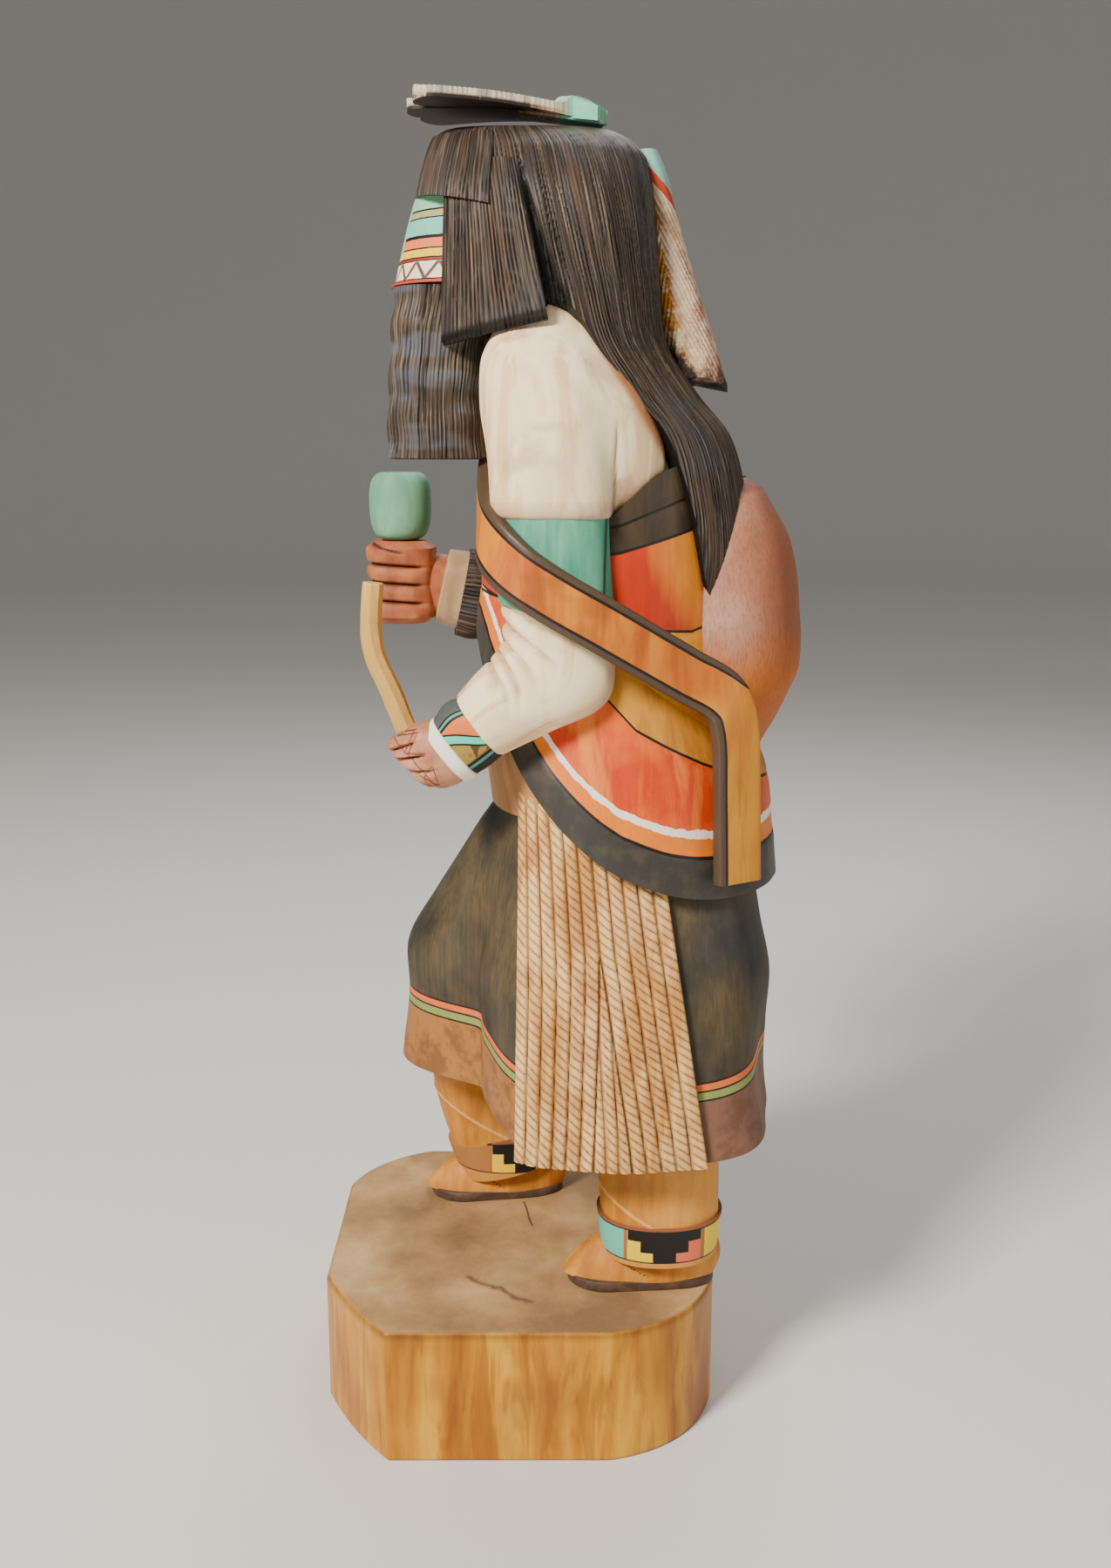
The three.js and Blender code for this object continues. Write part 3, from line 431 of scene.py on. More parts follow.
# The strap's path: a row is a point x, y, z and the outward direction there, x and y
STRAP = [
    [-30, 10, 290, -0.6, -0.5], [-25, -2, 279, -0.4, -1], [-10, -7, 262, 0, -1], [10, -9.2, 249.5, 0, -1],
    [30, -8.8, 241.5, 0.2, -1], [45, -6.6, 235, 0.7, -0.8], [53, 0, 227.5, 1, -0.35], [55.5, 11, 220, 1, 0],
    [55, 24, 212.5, 1, 0.1], [51, 36, 205, 1, 0.25], [46.5, 48, 197.5, 1, 0.4], [43.6, 59, 190.5, 0.9, 0.5],
    [43, 63, 181, 0.85, 0.55], [43.4, 64, 160, 0.85, 0.55], [44.6, 64.6, 136, 0.85, 0.55],
]
STRAP_WIDTH = 15.5
STRAP_THICKNESS = 4.4
SUNK = 3.0  # how far a layer reaches into the wood behind it


def hem(turn):
    """The dress's lower edge: raised in front, and a little at the back."""
    return 49.5 + 10.5 * ramp_up(-np.sin(turn), 0.5, 0.15) + 4.5 * ramp_up(np.sin(turn), 0.6, 0.1)


def dress_point(turn, z, proud=0.0):
    """The dress over both legs, with broad folds behind and finer ones all round, deeper below."""
    ovals = ((DRESS_OVER_RIGHT_LEG, 2), (DRESS_OVER_LEFT_LEG, 3))
    r = skin(ovals, DRESS_MIDDLE, turn, z, DRESS_CREASE)
    behind = ramp_up(np.sin(turn), 0.35, 0.12)
    broad = 1.6 * behind * np.sin(7 * turn + z / 19)
    fine = 0.7 * np.sin(11 * turn)
    return around(DRESS_MIDDLE, turn, z, r + ramp_up(110, z, 22) * (broad + fine) + proud)


def turn_at(y, z):
    """The turn at which the dress's left side passes y, for arrays of y and z, by halving."""
    low, high = np.full(y.shape, -70 * DEGREE), np.full(y.shape, 80 * DEGREE)
    for _ in range(24):
        half = (low + high) / 2
        short = dress_point(half, z)[..., 1] < y
        low, high = np.where(short, half, low), np.where(short, high, half)
    return low


def shawl_edge(turn):
    return 129.5 + 76 * ((1 - np.sin(turn)) / 2) ** 3.1


def shawl_top(turn):
    return 236 + 20 * ramp_up(np.sin(turn), 0.2, 0.15)


def hair_edge(turn):
    """Long down the back, up to the ears at the sides, clear of the face."""
    aside = np.abs((turn / DEGREE - 90 + 540) % 360 - 180)
    return 212 + 88 * ramp_up(aside, 65, 4.5) + 34 * ramp_up(aside, 122, 5)


# Materials. A colour is a screen colour such as 0xC87830.

BLACK = 0x14100E


def paint(code):
    """The linear colour of a screen colour."""
    parts = [(code >> shift & 255) / 255 for shift in (16, 8, 0)]
    return tuple(p / 12.92 if p <= 0.04045 else ((p + 0.055) / 1.055) ** 2.4 for p in parts)


class Wire:
    """A value or colour that comes out of a node. Sums and products of wires make Math nodes."""

    def __init__(self, tree, socket):
        self.tree, self.socket = tree, socket

    def math(self, operation, *others, clamp=False):
        """A Math node over this wire and the others."""
        node = self.tree.nodes.new("ShaderNodeMath")
        node.operation, node.use_clamp = operation, clamp
        for socket, value in zip(node.inputs, (self, *others)):
            self.tree.plug(socket, value)
        return Wire(self.tree, node.outputs[0])

    def __add__(self, other):
        return self.math("ADD", other)

    def __sub__(self, other):
        return self.math("SUBTRACT", other)

    def __rsub__(self, other):
        return (self * -1) + other

    def __mul__(self, other):
        return self.math("MULTIPLY", other)

    def __truediv__(self, other):
        return self.math("DIVIDE", other)

    __radd__, __rmul__ = __add__, __mul__

    def above(self, edge, soft=0.0):
        """1 above the edge and 0 below it, eased over the soft distance either side."""
        if not soft:
            return self.math("GREATER_THAN", edge)
        return ((self - edge) / (2 * soft) + 0.5).math("ADD", 0.0, clamp=True)

    def between(self, low, high, soft=0.0):
        return self.above(low, soft) * (1 - self.above(high, soft))

    def abs(self):
        return self.math("ABSOLUTE")


class Tree:
    """A node tree, either a material's or a group's."""

    def __init__(self, tree):
        self.tree, self.nodes = tree, tree.nodes

    def plug(self, socket, value):
        """Feeds a socket with a wire, a number, a vector or, where it takes a colour, a screen colour."""
        if isinstance(value, Wire):
            self.tree.links.new(value.socket, socket)
        elif socket.type == "RGBA":
            socket.default_value = (*paint(value), 1)
        else:
            socket.default_value = value

    def node(self, kind, plugs=None, out=0, **settings):
        """Adds a node with its settings and plugs, and gives the wire from one of its outputs."""
        made = self.nodes.new("ShaderNode" + kind)
        for key, value in settings.items():
            setattr(made, key, value)
        for key, value in (plugs or {}).items():
            self.plug(made.inputs[key], value)
        return Wire(self, made.outputs[out])

    def mix(self, share, first, second, how="MIX"):
        """The first colour where the share is 0 and the second where it is 1."""
        return self.node("Mix", {0: share, 6: first, 7: second}, 2, data_type="RGBA", blend_type=how)

    def toned(self, colour, tone):
        """The colour made darker or lighter by a tone near 1."""
        return self.mix(1.0, colour, self.node("CombineColor", {0: tone, 1: tone, 2: tone}), "MULTIPLY")

    def place(self):
        return self.node("TexCoord", out="Object")

    def uv(self):
        return self.node("UVMap", uv_map="surface")

    def part(self, vector, axis):
        return self.node("SeparateXYZ", {0: vector}, axis)

    def lengthwise(self):
        """The piece's own millimetres round and along, in metres and with its length as Z."""
        uv = self.uv()
        return self.node("CombineXYZ", {0: self.part(uv, 0) * MM, 2: self.part(uv, 1) * MM})

    def mark(self, name):
        return self.node("Attribute", out="Fac", attribute_name=name)

    def stretched(self, vector, scale):
        return self.node("Mapping", {"Vector": vector, "Scale": scale})

    def noise(self, vector, scale, detail=3.0, rough=0.55, twist=0.0):
        plugs = {"Vector": vector, "Scale": scale, "Detail": detail, "Roughness": rough, "Distortion": twist}
        return self.node("TexNoise", plugs)

    def ramp(self, value, stops, hard=False):
        """Colours at places from 0 to 1."""
        made = self.nodes.new("ShaderNodeValToRGB")
        self.plug(made.inputs[0], value)
        ramp = made.color_ramp
        ramp.interpolation = "CONSTANT" if hard else "LINEAR"
        while len(ramp.elements) < len(stops):
            ramp.elements.new(1.0)
        for element, (place, colour) in zip(ramp.elements, stops):
            element.position, element.color = place, (*paint(colour), 1)
        return Wire(self, made.outputs[0])

    def group(self, group, plugs, out=0):
        """Adds a node that stands for one of the shared groups."""
        return self.node("Group", plugs, out, node_tree=group)


def new_group(name, inputs, outputs):
    """An empty node group with its sockets, its inside tree, its input wires and its output node."""
    group = bpy.data.node_groups.new(name, "ShaderNodeTree")
    for direction, sockets in (("INPUT", inputs), ("OUTPUT", outputs)):
        for label, kind in sockets.items():
            group.interface.new_socket(name=label, in_out=direction, socket_type="NodeSocket" + kind)
    tree = Tree(group)
    entry = group.nodes.new("NodeGroupInput")
    wires = {label: Wire(tree, entry.outputs[label]) for label in inputs}
    return group, tree, wires, group.nodes.new("NodeGroupOutput")


def grain_group():
    """Wood grain: noise drawn out along the grain, as fine fibres and as broad bands."""
    group, t, wires, end = new_group(
        "wood_grain", {"Vector": "Vector", "Fineness": "Float"}, {"Fibres": "Float", "Bands": "Float"}
    )
    fine = t.stretched(wires["Vector"], (1, 1, 0.05))
    t.plug(end.inputs["Fibres"], t.noise(fine, wires["Fineness"], 4.0, 0.65))
    broad = t.stretched(wires["Vector"], (1, 1, 0.16))
    t.plug(end.inputs["Bands"], t.noise(broad, wires["Fineness"] * 0.13, 3.0, 0.6, 0.6))
    return group


def wear_group():
    """Old paint on wood: dark in the cuts, rubbed through to the wood on the ridges, and mottled."""
    group, t, wires, end = new_group(
        "old_paint",
        {
            "Vector": "Vector", "Paint": "Color", "Under": "Color", "Cut Colour": "Color",
            "Cut": "Float", "Ridge": "Float", "Wear": "Float", "Mottle": "Float",
        },
        {"Color": "Color", "Bare": "Float"},
    )
    blotch = t.noise(wires["Vector"], 70.0, 4.0, 0.62)
    grit = t.noise(wires["Vector"], 900.0, 3.0, 0.7)
    tone = (blotch - 0.5) * wires["Mottle"] + (grit - 0.5) * wires["Mottle"] * 0.5 + 1.0
    rubbed = (blotch + grit * 0.6 + wires["Ridge"]) - (1.75 - wires["Wear"])
    rubbed = rubbed.math("MULTIPLY", 5.0, clamp=True)
    bare = t.mix(rubbed, t.toned(wires["Paint"], tone), wires["Under"])
    # The cut colour goes where the groove mark is: carved grooves, creases, pleats and burnt cuts alike.
    deep = wires["Cut"].math("MULTIPLY", 1.0, clamp=True)
    t.plug(end.inputs["Color"], t.mix(deep, bare, wires["Cut Colour"]))
    t.plug(end.inputs["Bare"], rubbed)
    return group


def line_group():
    """A burnt or painted line that wavers and frays: 1 where the distance is under its half width."""
    group, t, wires, end = new_group(
        "line", {"Vector": "Vector", "Distance": "Float", "Half Width": "Float"}, {"Mask": "Float"}
    )
    waver = (t.noise(wires["Vector"], 260.0, 2.0) - 0.5) * 0.5
    edge = wires["Half Width"] + waver * wires["Half Width"]
    t.plug(end.inputs["Mask"], ((edge - wires["Distance"].abs()) * 5.0 + 0.5).math("ADD", 0.0, clamp=True))
    return group


GRAIN, WEAR, LINE = grain_group(), wear_group(), line_group()


def finish(
    name, colour, under=0xB98A5C, cut_colour=0x17120E, fineness=900.0, grain=0.25, wear=0.45, mottle=0.3,
    roughness=0.62, bump=0.25, coat=0.0, lengthwise=False, matte=None,
):
    """A painted or stained wooden surface. colour(tree, place, fibres, bands) gives its paint. The
    grain is upright or follows the piece's length, and matte names a mark where it has no varnish."""
    material = bpy.data.materials.new(name)
    material.use_nodes = True
    material.node_tree.nodes.clear()
    t = Tree(material.node_tree)
    place = t.place()
    grained = t.lengthwise() if lengthwise else place
    fibres = t.group(GRAIN, {"Vector": grained, "Fineness": fineness})
    bands = Wire(t, fibres.socket.node.outputs["Bands"])
    painted = colour(t, place, fibres, bands)
    streaked = t.toned(painted, (fibres - 0.5) * grain + 1.0)
    ridge = (t.node("NewGeometry", out="Pointiness") - 0.5) * 4.0
    worn = t.group(WEAR, {
        "Vector": place, "Paint": streaked, "Under": under, "Cut Colour": cut_colour,
        "Cut": t.mark("groove"), "Ridge": ridge, "Wear": wear, "Mottle": mottle,
    })
    bare = Wire(t, worn.socket.node.outputs["Bare"])
    height = fibres * 0.6 + t.noise(place, 700.0, 3.0, 0.6) * 0.4
    shader = t.nodes.new("ShaderNodeBsdfPrincipled")
    t.plug(shader.inputs["Base Color"], worn)
    rough = bare * 0.12 + (fibres - 0.5) * 0.12 + roughness
    t.plug(shader.inputs["Roughness"], rough + t.mark(matte) * 0.3 if matte else rough)
    t.plug(shader.inputs["Normal"], t.node("Bump", {"Strength": bump, "Distance": 0.0004, "Height": height}))
    shader.inputs["Coat Weight"].default_value = coat
    shader.inputs["Coat Roughness"].default_value = 0.28
    shader.inputs["Specular IOR Level"].default_value = 0.35
    end = t.nodes.new("ShaderNodeOutputMaterial")
    t.tree.links.new(shader.outputs[0], end.inputs["Surface"])
    return material


def blend(first, second=None, middle=0.5, soft=0.12):
    """One paint, blended by the grain's broad bands into a second."""
    def colour(t, place, fibres, bands):
        return t.mix(bands.above(middle, soft), first, first if second is None else second)
    return colour


def lined(t, colour, place, distances, width, ink=0x17100C):
    """Lines of the given ink, a half width in millimetres, where any of the distances is near 0."""
    for distance in distances:
        mask = t.group(LINE, {"Vector": place, "Distance": distance, "Half Width": width})
        colour = t.mix(mask, colour, ink)
    return colour


def hair_colour(t, place, fibres, bands):
    """Grey-brown strands with warm, bluish and black streaks drawn out along them."""
    strand = t.noise(t.stretched(t.uv(), (1, 0.03, 1)), 1.1, 3.0, 0.7)
    streak = t.noise(t.stretched(t.uv(), (1, 0.09, 1)), 0.16, 3.0, 0.6)
    patch = t.noise(place, 38.0, 2.0, 0.5)
    body = t.ramp(strand, [(0.34, 0x14110F), (0.5, 0x3A3029), (0.72, 0x7C6A57)])
    warm = t.mix(streak.above(0.56, 0.06) * 0.45, body, 0x5A3F2C)
    cool = t.mix(patch.above(0.58, 0.06) * 0.3, warm, 0x464B52)
    # Black on the cut ends of the hair layers is painted shadow under them; the gap behind the ear locks and
    # each lock's lowest rows are black too.
    black = t.mark("wedge").math("MAXIMUM", t.mark("cut"))
    return t.mix(black, cool, 0x0C0A0A)


def beard_colour(t, place, fibres, bands):
    """Strands crossed by soft bluish-grey and brown bands, as if each were wavy."""
    strand = t.noise(t.stretched(t.uv(), (1, 0.03, 1)), 1.1, 3.0, 0.7)
    body = t.ramp(strand, [(0.34, 0x16120F), (0.5, 0x42372D), (0.72, 0x86745F)])
    wave = t.noise(t.stretched(t.uv(), (0.35, 1, 1)), 0.11, 2.0, 0.5)
    return t.mix(wave.above(0.55, 0.06) * 0.5, body, 0x666C78)


def shirt_colour(t, place, fibres, bands):
    """Thin white over wood: tan grain showing, pinkish-brown smears, and a singed edge by the hair."""
    base = t.mix(bands.above(0.55, 0.05) * 0.5, 0xFFECC2, 0xDCA468)
    flame = t.noise(t.stretched(place, (1, 1, 0.3)), 60.0, 1.0, 0.4, 0.4)
    base = t.mix((flame * 5.0).math("PINGPONG", 0.5).above(0.34, 0.16) * 0.28, base, 0xDCA468)
    smear = t.noise(place, 42.0, 4.0, 0.6, 0.4)
    stained = t.mix(smear.above(0.6, 0.05) * 0.5, base, 0xBE8E74)
    # Pinkish-brown where the fold mark is: painted shade in the sleeves' folds.
    shaded_folds = t.mix(t.mark("fold") * 0.75, stained, 0x9C6E55)
    return t.mix(t.mark("singe") * 0.85, shaded_folds, 0xA85A1C)


def wrap_colour(t, place, fibres, bands):
    """The shawl from its lower edge up: charcoal border, orange strip, white stripe, red-orange field,
    then the tan, ochre and red panels and two dark bands, with burnt lines between them."""
    rim, fore = t.mark("rim"), t.mark("fore")
    low, mid = t.mark("tan_line"), t.mark("panel_line")
    base, split = t.mark("band_low"), t.mark("band_mid")
    wobble = (t.noise(place, 300.0, 2.0) - 0.5) * 0.16
    field = t.mix(t.noise(place, 55.0, 3.0).above(0.5, 0.1), 0xC63A10, 0xDC6022)
    field = t.mix(bands.above(0.55, 0.07) * 0.8, field, 0xE4822C)
    tan = t.mix(bands.above(0.5, 0.1), 0xC88A2C, 0xAE6E20)
    yellow = t.mix(bands.above(0.5, 0.1), 0xEBA420, 0xDB8A18)
    redder = (fore + (bands - 0.5) * 14.0 - (mid * -0.5 + 10.0).math("MAXIMUM", 0.0)).above(41.0, 5.0)
    red = t.mix(redder, 0xC23208, 0xE88A16)
    dark = t.mix(bands.above(0.5, 0.12), 0x4A3C28, 0x35291C)
    colour = t.mix(low.above(0.0), field, t.mix(((low - 14.0) + (fore - 40.0) * 0.2).above(0.0), tan, yellow))
    colour = t.mix(mid.above(0.0), colour, red)
    colour = t.mix(base.above(0.0), colour, dark)
    edge = rim + wobble
    colour = t.mix(1 - edge.above(1.5), colour, 0xE07818)
    colour = t.mix(edge.between(1.46, 1.66), colour, 0xF3E6DC)
    border = t.mix(t.noise(place, 160.0, 3.0).above(0.55, 0.08) * 0.5, 0x35322F, 0x4E4436)
    colour = t.mix(1 - rim.above(1.0), colour, border)
    return lined(t, colour, place, (low, mid, base, split, (rim - 1.0) * 10.0), 0.42)


def dress_colour(t, place, fibres, bands):
    """Charcoal rubbed through to ochre, orange and green stripes with black lines, and a brown hem."""
    hem_height, fore = t.mark("hem"), t.mark("fore")
    rubbed = t.noise(place, 34.0, 4.0, 0.6).above(0.5, 0.14) * (fibres.above(0.47, 0.2) * 0.5 + 0.3)
    body = t.mix(bands.above(0.5, 0.12), 0x34312A, 0x23211E)
    body = t.mix(rubbed * 0.75, body, 0x76603A)
    body = t.mix(t.noise(place, 24.0, 2.0).above(0.56, 0.06) * 0.3, body, 0x3A3F40)
    worn = t.noise(place, 130.0, 4.0, 0.7)
    low = t.mix((fore + (bands - 0.5) * 60.0).above(20.0, 22.0), 0xA06A34, 0x7A5442)
    low = t.mix((worn - hem_height * 0.006).above(0.62, 0.08) * 0.6, low, 0x5A3A24)
    colour = t.mix(1 - hem_height.above(0.0), body, low)
    colour = t.mix(hem_height.between(-5.4, -2.7), colour, 0x87924C)
    colour = t.mix(hem_height.between(-2.5, 0.0), colour, 0xDE6A30)
    return lined(t, colour, place, (hem_height, hem_height + 2.6, hem_height + 5.5), 0.3)


def strap_colour(t, place, fibres, bands):
    """Orange-brown wood with dark edge bands, and a black line inside each."""
    side, tail = t.mark("side"), t.mark("tail")
    body = t.mix(bands.above(0.5, 0.1), 0xB45810, 0xCE7A1E)
    body = t.mix(t.noise(place, 48.0, 4.0).above(0.56, 0.06) * 0.5, body, 0x7E4016)
    body = t.mix(tail, body, t.mix(bands.above(0.5, 0.1), 0xD4921E, 0xBC7418))
    outer = (side.abs() - 5.5) - (tail * side.above(0.0)) * 9.0
    edged = t.mix(outer.above(0.0), body, 0x4C3A2C)
    return lined(t, edged, place, (outer,), 0.4)


# The mask's bands from below, as the height where each begins and its colour
MASK_LOW, MASK_TALL = 304.0, 26.0
MASK_BANDS = [
    (304.0, 0x241C18), (305.5, 0xC03A22), (306.4, BLACK), (306.8, 0xF2DCC0), (311.5, BLACK),
    (311.8, 0xA03420), (312.3, BLACK), (312.7, 0xF0C22C), (314.8, BLACK), (315.2, 0xE8794A),
    (317.7, BLACK), (318.6, 0x6FC4B0), (323.1, BLACK), (323.6, 0xA9A26C), (325.3, BLACK),
    (325.8, 0x86C79C),
]


def mask_colour(t, place, fibres, bands):
    """Painted bands by height round the cheeks, plain pale green in front, and a zigzag band below."""
    height, aside, far = t.mark("high"), t.mark("aside"), t.mark("far")
    rise = (height + (t.noise(place, 300.0, 2.0) - 0.5) * 0.35 - MASK_LOW) / MASK_TALL
    stripes = t.ramp(rise, [((z - MASK_LOW) / MASK_TALL, code) for z, code in MASK_BANDS], hard=True)
    front = (1 - aside.above(9.5, 0.4)) * height.above(312.7)
    colour = t.mix(front, stripes, 0x8CC8AE)
    zigzag = ((far / 8.6).math("PINGPONG", 0.5) * 9.6 + 306.8 - height) * 0.62
    inside = height.between(306.8, 311.4)
    line = t.group(LINE, {"Vector": place, "Distance": zigzag, "Half Width": 0.5})
    return t.mix(line * inside, colour, 0x5A4A3C)


def sash_colour(t, place, fibres, bands):
    light = t.mix(bands.above(0.52, 0.1), 0xF0C080, 0xC88E4A)
    return t.mix(t.noise(place, 90.0, 4.0).above(0.54, 0.08) * 0.5, light, 0xB47A40)


def pack_colour(t, place, fibres, bands):
    """Pinkish tan above and orange below, with short burnt hair strokes; a reddish neck."""
    height = t.part(place, 2) * 1000.0 - SOLES
    blend_up = (height + (t.noise(place, 45.0, 3.0) - 0.5) * 30.0).above(203.0, 8.0)
    base = t.mix(blend_up, 0xB8621A, 0x9A5C40)
    near_hair = (t.part(place, 1) * -40.0 + 3.1).math("MAXIMUM", 0.0).math("MINIMUM", 1.0)
    scuffed = t.noise(place, 26.0, 5.0, 0.65).above(0.49, 0.12) * near_hair
    base = t.mix(scuffed * blend_up * 0.9, base, 0xB89C8C)
    stroke = t.noise(t.stretched(place, (1, 1, 0.2)), 1500.0, 2.0, 0.6)
    hairy = t.mix(stroke.above(0.56, 0.08) * 0.4, base, 0x7A4224)
    red = t.mix(stroke.above(0.5, 0.08), 0x9C4226, 0x6E2A1A)
    return t.mix(height.between(171.0, 247.5, 0.8), red, hairy)


def cuff_colour(t, place, fibres, bands):
    """Grey leather on top, then between two dark and teal lines an orange triangle, a turquoise strip
    that slants across, and an olive patch with dark strokes."""
    lie, share = t.mark("lie"), t.mark("length")
    slant = lie - (share * 0.85 - 0.42)
    stroke = t.noise(t.stretched(place, (1, 1, 0.4)), 420.0, 2.0).above(0.56, 0.04)
    olive = t.mix(stroke * 0.8, 0x9C8238, 0x2E2616)
    colour = t.mix(slant.above(0.0), olive, 0xDB7232)
    colour = t.mix(slant.between(-0.15, 0.15), colour, 0x4CCFAE)
    outside = t.ramp((lie + 1) / 2.0, [
        (0.0, 0x20282A), (0.14, 0x4E9A8C), (0.18, BLACK), (0.22, 0x7A5A34),
        (0.8, BLACK), (0.83, 0x4E9A8C), (0.86, BLACK), (0.88, 0x4C5352),
    ], hard=True)
    colour = t.mix(lie.between(-0.52, 0.6), outside, colour)
    rim = t.mix(1 - share.above(0.14), colour, 0x5C4A3A)
    return lined(t, rim, place, ((slant - 0.15) * 9.0, (slant + 0.15) * 9.0, (share - 0.14) * 9.0), 0.28)


def band_colour(t, place, fibres, bands):
    """Ankle band: a brown trim above, turquoise in front, yellow behind, and between them a black
    stepped pyramid that points down, with yellow and coral steps beside it."""
    fore, height = t.mark("fore"), t.mark("high")
    wobble = (t.noise(place, 400.0, 2.0) - 0.5) * 0.25
    side = fore.abs() + wobble
    beside = t.mix(fore.above(0.0), 0xF2C81E, 0xD96A48)
    half = 3.6 + height.above(15.8) * 3.9 + height.above(19.6) * 3.9
    panel = t.mix((half - side).above(0.0), beside, BLACK)
    outer = t.mix(fore.above(0.0), t.mix(t.mark("near"), 0xA8713C, 0x62BFA8), 0xEFCB20)
    colour = t.mix(side.above(12.2), panel, outer)
    colour = t.mix(side.between(11.5, 12.6), colour, 0xA06A3C)
    colour = t.mix(height.above(23.2), colour, 0x8A5234)
    low = t.mix(height.above(12.4), 0xC98A40, colour)
    return lined(t, low, place, (height - 12.4, height - 23.2), 0.22)


def foot_colour(t, place, fibres, bands):
    upper = t.mix(bands.above(0.5, 0.12), 0xD28E36, 0xB06C20)
    sole = t.mix(t.noise(place, 200.0, 3.0).above(0.55, 0.1) * 0.5, 0x4A372B, 0x6B5444)
    return lined(t, t.mix(t.mark("sole"), upper, sole), place, (t.mark("crease"),), 0.3)


def leg_colour(t, place, fibres, bands):
    base = t.mix(bands.above(0.52, 0.12), 0xD08C2C, 0xB06C1C)
    base = t.mix(t.noise(place, 50.0, 3.0).above(0.58, 0.08) * 0.4, base, 0xD9A04C)
    return t.mix(bell_mask(t, t.mark("crease"), 0.9) * 0.8, base, 0xE8B46C)


def bell_mask(t, distance, width):
    """1 where a distance in millimetres is 0, falling to 0 at the width."""
    return (1 - distance.abs() / width).math("MAXIMUM", 0.0)


def hand_colour(first, second):
    def colour(t, place, fibres, bands):
        base = t.mix(t.noise(place, 130.0, 3.0).above(0.5, 0.14), first, second)
        return lined(t, base, place, (t.mark("pen"),), 0.19, 0x6E3222)
    return colour


def feather_colour(t, place, fibres, bands):
    """Cream barbs with brown flecks towards the tip, a dark painted shadow underneath, and a turquoise
    binding.
    """
    share, under = t.mark("length"), t.mark("under")
    fleck = t.noise(t.stretched(t.uv(), (0.5, 0.5, 1)), 0.5, 3.0, 0.7)
    top = t.mix(fleck.above(0.52, 0.07) * 0.7, 0xE6D9C2, 0x8C7A68)
    lower = t.mix((share + (fleck - 0.5) * 0.5).above(0.35, 0.1), 0xC9A684, 0x2C221C)
    # The underside is painted dark, tan by the root, as the shadow under the feather.
    whole = t.mix(under.above(0.62, 0.12), top, lower)
    return t.mix(t.mark("bound"), whole, 0x6FBFA4)


def plume_colour(t, place, fibres, bands):
    """Pinkish cream with an orange shaft side, dark tips, and a red and turquoise binding."""
    share, near = t.mark("length"), t.mark("near")
    barb = t.noise(place, 140.0, 4.0, 0.65)
    pale = t.mix((barb + share * 0.3).above(0.6, 0.12), 0xA4745A, 0xE2C6A6)
    base = t.mix(near.above(0.0, 0.3), pale, t.mix(barb.above(0.54, 0.05), 0xD88826, 0xF4DDB0))
    tips = (barb - 0.5) * 0.4 - near.above(0.0, 1.2) * 0.16
    colour = t.mix(1 - (share + tips).above(0.07, 0.05), base, 0x30261F)
    colour = t.mix(t.mark("bound").above(0.0), colour, 0xB8402A)
    return t.mix(t.mark("inlay").above(0.0), colour, 0x7FB5A6)


# A crack and a knot on the block: a point, a direction, a length, a half width, its edge and wander
TOP_MARKS = [
    (-0.0215, 0.0003, 0.982, 0.186, 0.0177, 0.3, 0.15, 2.0),
    (0.0288, -0.0171, 0.622, 0.783, 0.0267, 0.7, 0.9, 9.0),
]


def block_colour(t, place, fibres, bands):
    """Orange-yellow varnish with upright streaks; the top is greyer and worn, with cracks."""
    broad = t.noise(t.stretched(place, (1, 1, 0.12)), 60.0, 3.0, 0.6, 0.3)
    side = t.ramp(broad, [(0.34, 0x94520A), (0.46, 0xC07E10), (0.62, 0xE0A628)])
    side = t.mix(bands.above(0.55, 0.05) * 0.5, side, 0x84400C)
    side = t.mix(t.noise(place, 30.0, 3.0).above(0.58, 0.08) * 0.35, side, 0x7A4A1C)
    worn = t.noise(place, 22.0, 5.0, 0.6)
    top = t.ramp(worn, [(0.36, 0x846646), (0.5, 0xA68256), (0.66, 0xC6A274)])
    for x0, y0, dx, dy, length, width, soft, wander in TOP_MARKS:
        x, y = t.part(place, 0) - x0, t.part(place, 1) - y0
        beside = (x * -dy + y * dx) * 1000.0 + (t.noise(place, 110.0, 3.0) - 0.5) * wander
        streak = (1 - beside.abs().above(width, soft)) * (x * dx + y * dy).between(0.0, length, 0.001)
        top = t.mix(streak * 0.8, top, 0x3A2416)
    return t.mix(t.mark("top"), side, top)


def front_colour(t, place, fibres, bands):
    """The shawl's red where it leaves the chest open, the shirt above, and a painted shadow under the hair.
    """
    red = t.mix(bands.above(0.5, 0.1), 0xC8481E, 0xD96C34)
    height = t.part(place, 2) * 1000.0 - SOLES
    dressed = t.mix(height.above(222.0), red, shirt_colour(t, place, fibres, bands))
    # Near black above the shoulders: the hair's shadow painted on the chest.
    return t.mix(height.above(288.0, 3.0), dressed, 0x14100D)


